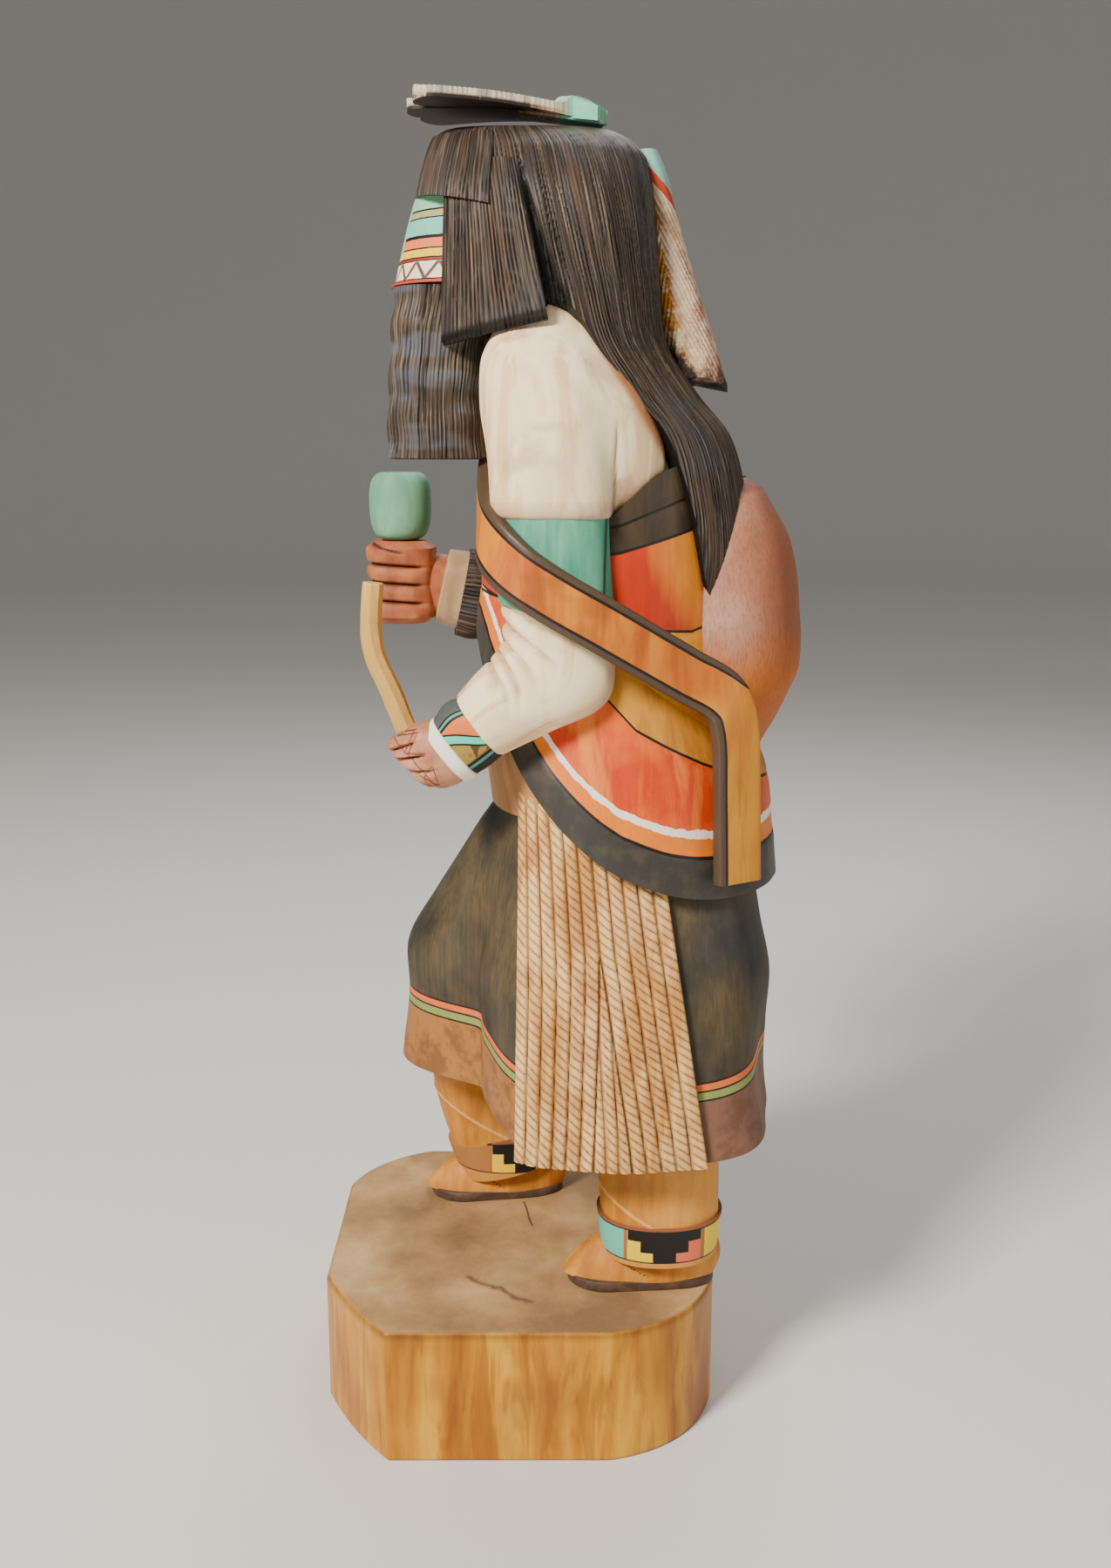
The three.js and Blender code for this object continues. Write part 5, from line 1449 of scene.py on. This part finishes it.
def leg(rows, ridge):
    """A legging; the mark "crease" is the distance from a low ridge that slants across it."""
    grid, uv, _, _ = limb(rows, 36, 100, 2.2, swell=lambda turn, v, far: carved(far, v, 8, 0.3, 97))
    y, z = grid[..., 1], grid[..., 2]
    away = (z - ridge[1]) + (y - ridge[0]) * 0.6
    grid[..., :2] += unit(grid[..., :2] - [rows[0][0], rows[0][1]]) * (0.5 * bell(away, 1.2))[..., None]
    return tube(grid, uv, {"crease": away})


def ankle_band(rows, middle):
    """A band round the ankle; "fore" is millimetres behind the middle of its stepped figure."""
    x, y, _, across, outwards = rows[0]
    rise = 13.5 / (rows[1][2] - rows[0][2])
    low = [x, y, 10.5, across + 1.3, outwards + 1.3]
    top = [x + (rows[1][0] - x) * rise, y + (rows[1][1] - y) * rise, 24, rows[1][3] + 1.3, rows[1][4] + 1.3]
    grid, uv, _, _ = limb([low, top], 24, 120, 2.2)
    return tube(grid, uv, {"fore": grid[..., 1] - middle, "high": grid[..., 2], "near": float(x > 0)})


def sole_outline(sides):
    """A foot's outline from the heel round the toe: three cubic curves, the same left and right."""
    t = np.linspace(0, 1, 60)[:, None]
    curve = lambda a, b, c, d: (1 - t) ** 3 * a + 3 * t * (1 - t) ** 2 * b + 3 * t**2 * (1 - t) * c + t**3 * d
    ball = -FOOT_LENGTH * 0.66
    half = [(0, 0), (11.16, 0), (9, ball / 2), (11, ball), (11, -FOOT_LENGTH)]
    points = np.array(half + [(-x, y) for x, y in half[:0:-1]], float)
    parts = curve(*points[0:4]), curve(*points[3:7])[1:], curve(*points[6:9], points[0])[1:]
    return evenly(np.concatenate(parts), sides)


def foot(heel, swing, crease):
    """A moccasin: a dark sole, and an upper whose levels are drawn in and lean towards the ankle."""
    sides = 140
    outline, place = sole_outline(sides)
    sole_z, inset = np.array([0, 0.3, 2.9, 3.2]), np.array([0.3, 0, 0, 0.3])
    inward = unit(np.array([0, -25]) - outline)
    level = outline[None] + inward[None] * inset[:, None, None]
    heights = np.broadcast_to(sole_z[:, None], (4, sides))
    rings = np.concatenate([level, heights[..., None]], -1)
    sole = tube(rings, around_uv(place, heights), {"sole": 1.0, "crease": 9.0})
    turn = np.linspace(-math.pi, math.pi, sides + 1)[:-1]
    rise = np.linspace(0, 1, 34)[:, None]
    drawn = np.sqrt(1 - (rise * 0.93) ** 2)
    c, s = oval(turn, 2.3)
    z = 2.8 + rise * 12.8 + 0 * c
    upper = np.stack([(5 + 5 * drawn) * c, -FOOT_LENGTH * 0.47 + rise * 7 + (10 + 14.3 * drawn) * s, z], -1)
    line = line_distance(upper[..., 1], z, crease) + 9 * (upper[..., 0] < 0)
    upper[..., 0] -= 0.4 * bell(line, 0.7)
    top = tube(upper, around_uv(place, z), {"sole": 0.0, "crease": line})
    for form in (sole, top):
        form["points"] = form["points"] @ turned(swing) + [*heel, 0]
    return sole, top


make("leggings", leg_paint, "leggings", leg(LEFT_LEG, (28, 32)), leg(RIGHT_LEG, (-20, 34)))
make("ankle_bands", band_paint, "mask", ankle_band(LEFT_LEG, 45.3), ankle_band(RIGHT_LEG, 1))
make("moccasins", foot_paint, "leggings", *foot(LEFT_HEEL, 0, FOOT_CREASE), *foot(RIGHT_HEEL, 4, FOOT_CREASE))


# Set-in pieces

STICK = [
    [31, -30.6, 174.5], [30.3, -33, 180], [29.2, -37, 190], [28.4, -40.8, 198.5], [28, -42.4, 206],
    [28, -42.2, 214], [28, -41.5, 221],
]
STICK_RADIUS = 3.1


def crook():
    """A bent stick pared to eight flats: an octagon's radius round a curved path."""
    def swell(turn, v, far):
        flat = (turn + math.pi / 8 + v * 0.01) % (math.pi / 4) - math.pi / 8
        return STICK_RADIUS * (0.95 / np.cos(flat) - 1) + carved(far, v, 3, 0.12, 99)
    grid, uv, _, _ = limb([[*p, STICK_RADIUS, STICK_RADIUS] for p in STICK], 90, 96, swell=swell)
    return tube(grid, uv, high=ROUNDED)


def rattle():
    """A barrel turned round an upright axis, on a handle that runs down through the fist."""
    x, y, z = FIST_AT
    middle = z + FIST_HEIGHT / 2 + 0.3 + 10.8
    profile = [
        [-10.8, 0, 0, 5.4, 5.4], [-9.8, 0, 0, 7.6, 7.6], [-7.5, 0, 0, 9.1, 9.1], [-3.5, 0, 0, 10, 10],
        [0, 0, 0, 10.2, 10.2], [4.5, 0, 0, 10.1, 10.1], [8, 0, 0, 9.4, 9.4], [10, 0, 0, 8, 8],
        [10.8, 0, 0, 6.6, 6.6],
    ]
    barrel = tube(*stack(profile, 60, 120, swell=lambda turn, z, far: carved(far, z, 9, 0.12, 101))[:2])
    handle = tube(*stack([[-37.2, 0, 0, 2.8, 2.8], [-10, 0, 0, 2.8, 2.8]], 8, 24)[:2])
    for form in (barrel, handle):
        form["points"] = form["points"] + [x, y, middle]
    return barrel, handle


CREST_LENGTH, CREST_BINDING, CREST_HEIGHT = 56.5, 13, 350.4


def crest_feather(swing, lift):
    """A feather on the crown: it widens to its tip, arches along and across, and its barbs slant back
    from a raised shaft. Near the root it is bound."""
    up, across = np.linspace(0, 1, 110)[:, None], np.linspace(-1, 1, 28)[None]
    bound = ramp_up(CREST_BINDING / CREST_LENGTH, up, 0.012)
    wide = (9 + 5 * up**0.7) / 2 * np.sqrt(1 - 0.35 * ramp_up(up, 0.985, 0.012))
    rise = 3.8 * np.sin(math.pi / 2 * np.minimum(1, up * 1.25)) + 0.3
    barb = 0.5 - 0.5 * np.cos(2 * math.pi * (up * CREST_LENGTH / 1.5 - np.abs(across) * 3))
    shaft = bell(across * wide, 0.7)
    binding = 3 * (1 + 0.9 * bound) * (1 - 0.4 * bound * ramp_up(0.06, up, 0.03))
    thick = binding + 0.6 * (1 - across**2) + 0.5 * shaft * (1 - bound)
    top = rise + thick - 0.35 * barb * (1 - bound) * (1 - shaft)
    length = up * CREST_LENGTH * (1 - 0.03 * across**2)
    grids = []
    for height in (top, rise + 0 * top):
        flat = np.stack([-across * wide + 0 * top, -length + 0 * top, height], -1)
        grids.append(flat @ turned(swing) + [-swing * 0.16, 25, CREST_HEIGHT + lift])
    uv = np.stack([across * 7 + 0 * up, up * CREST_LENGTH + 0 * across], -1)
    marks = {"groove": barb**3 * 0.5 * (1 - bound), "length": up, "bound": bound}
    form = layer(*grids, uv, marks, skip=4)
    # under marks the underside and cut edges, where the feather paint puts its painted shadow.
    form["marks"]["under"] = form["marks"]["cut"] * (1 - form["marks"]["bound"])
    return form


PLUME = [
    [276, 0, 54, 12, 9.6], [290, 0, 50.5, 12, 8.6], [306, 0, 46.5, 11.5, 7], [327, 0, 42, 9, 4.8],
    [337, 0, 40, 7.5, 4.2], [343.8, 0, 38.2, 6.5, 3],
]


def plume():
    """The broad plume down the back: barbs sweep down and out from a shaft; its top is bound."""
    def barbs(turn, z, far):
        away = np.abs(np.sin(turn) + 0.3) * along(PLUME, z)[..., 3]
        return 0.5 - 0.5 * np.cos(2 * math.pi * (away / 1.25 + z / 3.6 + 0.2 * hills(far / 4, z / 6, 103)))
    grid, uv, turn, z = stack(
        PLUME, 110, 120, 2.4, lambda turn: 276 + 4 * np.cos(turn) ** 2,
        swell=lambda turn, z, far: -0.5 * barbs(turn, z, far) * ramp_up(331, z, 1),
    )
    my, ay = along(PLUME, z)[..., 1], along(PLUME, z)[..., 3]
    back = grid[..., 1] - my
    line = z - 333 + 1.3 * back
    marks = {
        "groove": barbs(turn, z, uv[:, :-1, 0]) ** 2 * 0.35 * ramp_up(0, line, 0.3), "length": (z - 276) / 68,
        "bound": line, "near": (-0.25 - back / ay) * 4, "inlay": np.minimum(line - 4.2, back + 3),
    }
    return tube(grid, uv, marks)


make("crook_stick_wood", straw, "crook_stick", crook(), replaces="crook_stick")
make("rattle_barrel", sage, "rattle", *rattle(), replaces="rattle")
crest = [crest_feather(*row) for row in ((20, 0.5), (0, 0), (-20, 0.5))]
make("crest_plumage", feather_paint, "crest_feathers", *crest, replaces="crest_feathers")
make("plume_barbs", plume_paint, "back_plume", plume(), replaces="back_plume")


# Backdrop, light and camera


def lamp(name, place, aim, size, power, colour=(1, 1, 1)):
    """A square area light that faces the aim: tilted from straight down, then turned towards it."""
    data = bpy.data.lights.new(name, "AREA")
    data.size, data.energy, data.color = size, power, colour
    lamp = bpy.data.objects.new(name, data)
    lamp.location = place
    x, y, z = unit(np.subtract(aim, place))
    lamp.rotation_euler = (math.acos(-z), 0, math.atan2(y, x) - math.pi / 2)
    bpy.context.collection.objects.link(lamp)


lamp("key", (0.8, -0.6, 0.95), (0, 0, 0.22), 0.28, 30, (1, 0.94, 0.84))
lamp("fill", (0.5, 0.9, 0.5), (0, 0, 0.2), 0.6, 2.5, (1, 0.96, 0.9))
lamp("back", (-0.6, 0.2, 0.9), (0, 0, 0.25), 0.6, 5)

world = bpy.data.worlds.new("studio")
world.use_nodes = True
sky = world.node_tree.nodes["Background"]
sky.inputs["Color"].default_value = (1, 0.98, 0.95, 1)
sky.inputs["Strength"].default_value = 0.26
bpy.context.scene.world = world


def dish(sides=72):
    """A round floor that curves up into a wall far from the object: a profile turned round Z."""
    arc, bend, flat, wall = np.linspace(0, math.pi / 2, 28), 2.5, 3.0, 3.6
    r = np.concatenate([[1, 2.2], flat + bend * np.sin(arc), [flat + bend]])
    z = np.concatenate([[0, 0], bend * (1 - np.cos(arc)), [wall]])
    turn = np.linspace(0, 2 * math.pi, sides, endpoint=False)
    places = [(float(a * math.cos(t)), float(a * math.sin(t)), float(b)) for a, b in zip(r, z) for t in turn]
    ring = lambda k, i: k * sides + i % sides
    faces = [(ring(k, i), ring(k, i + 1), ring(k + 1, i + 1), ring(k + 1, i))
             for k in range(len(r) - 1) for i in range(sides)]
    return places, [tuple(range(sides))] + [face[::-1] for face in faces]


floor_mesh = bpy.data.meshes.new("backdrop")
places, faces = dish()
floor_mesh.from_pydata(places, [], faces)
floor_mesh.shade_smooth()
floor = bpy.data.objects.new("backdrop", floor_mesh)
bpy.context.collection.objects.link(floor)
pale = bpy.data.materials.new("pale_floor")
pale.use_nodes = True
shader = pale.node_tree.nodes["Principled BSDF"]
shader.inputs["Base Color"].default_value = (0.7, 0.69, 0.67, 1)
shader.inputs["Roughness"].default_value = 0.9
floor_mesh.materials.append(pale)

CAMERA_PLACE, CAMERA_DIP = (0.4858, 0.0115, 0.3068), 12.529  # metres, and degrees below level
view = bpy.data.cameras.new("view")
view.lens, view.sensor_width = 36, 36
camera = bpy.data.objects.new("view", view)
camera.location = CAMERA_PLACE
camera.rotation_euler = (math.radians(90 - CAMERA_DIP), 0, math.radians(90))
bpy.context.collection.objects.link(camera)
bpy.context.scene.camera = camera
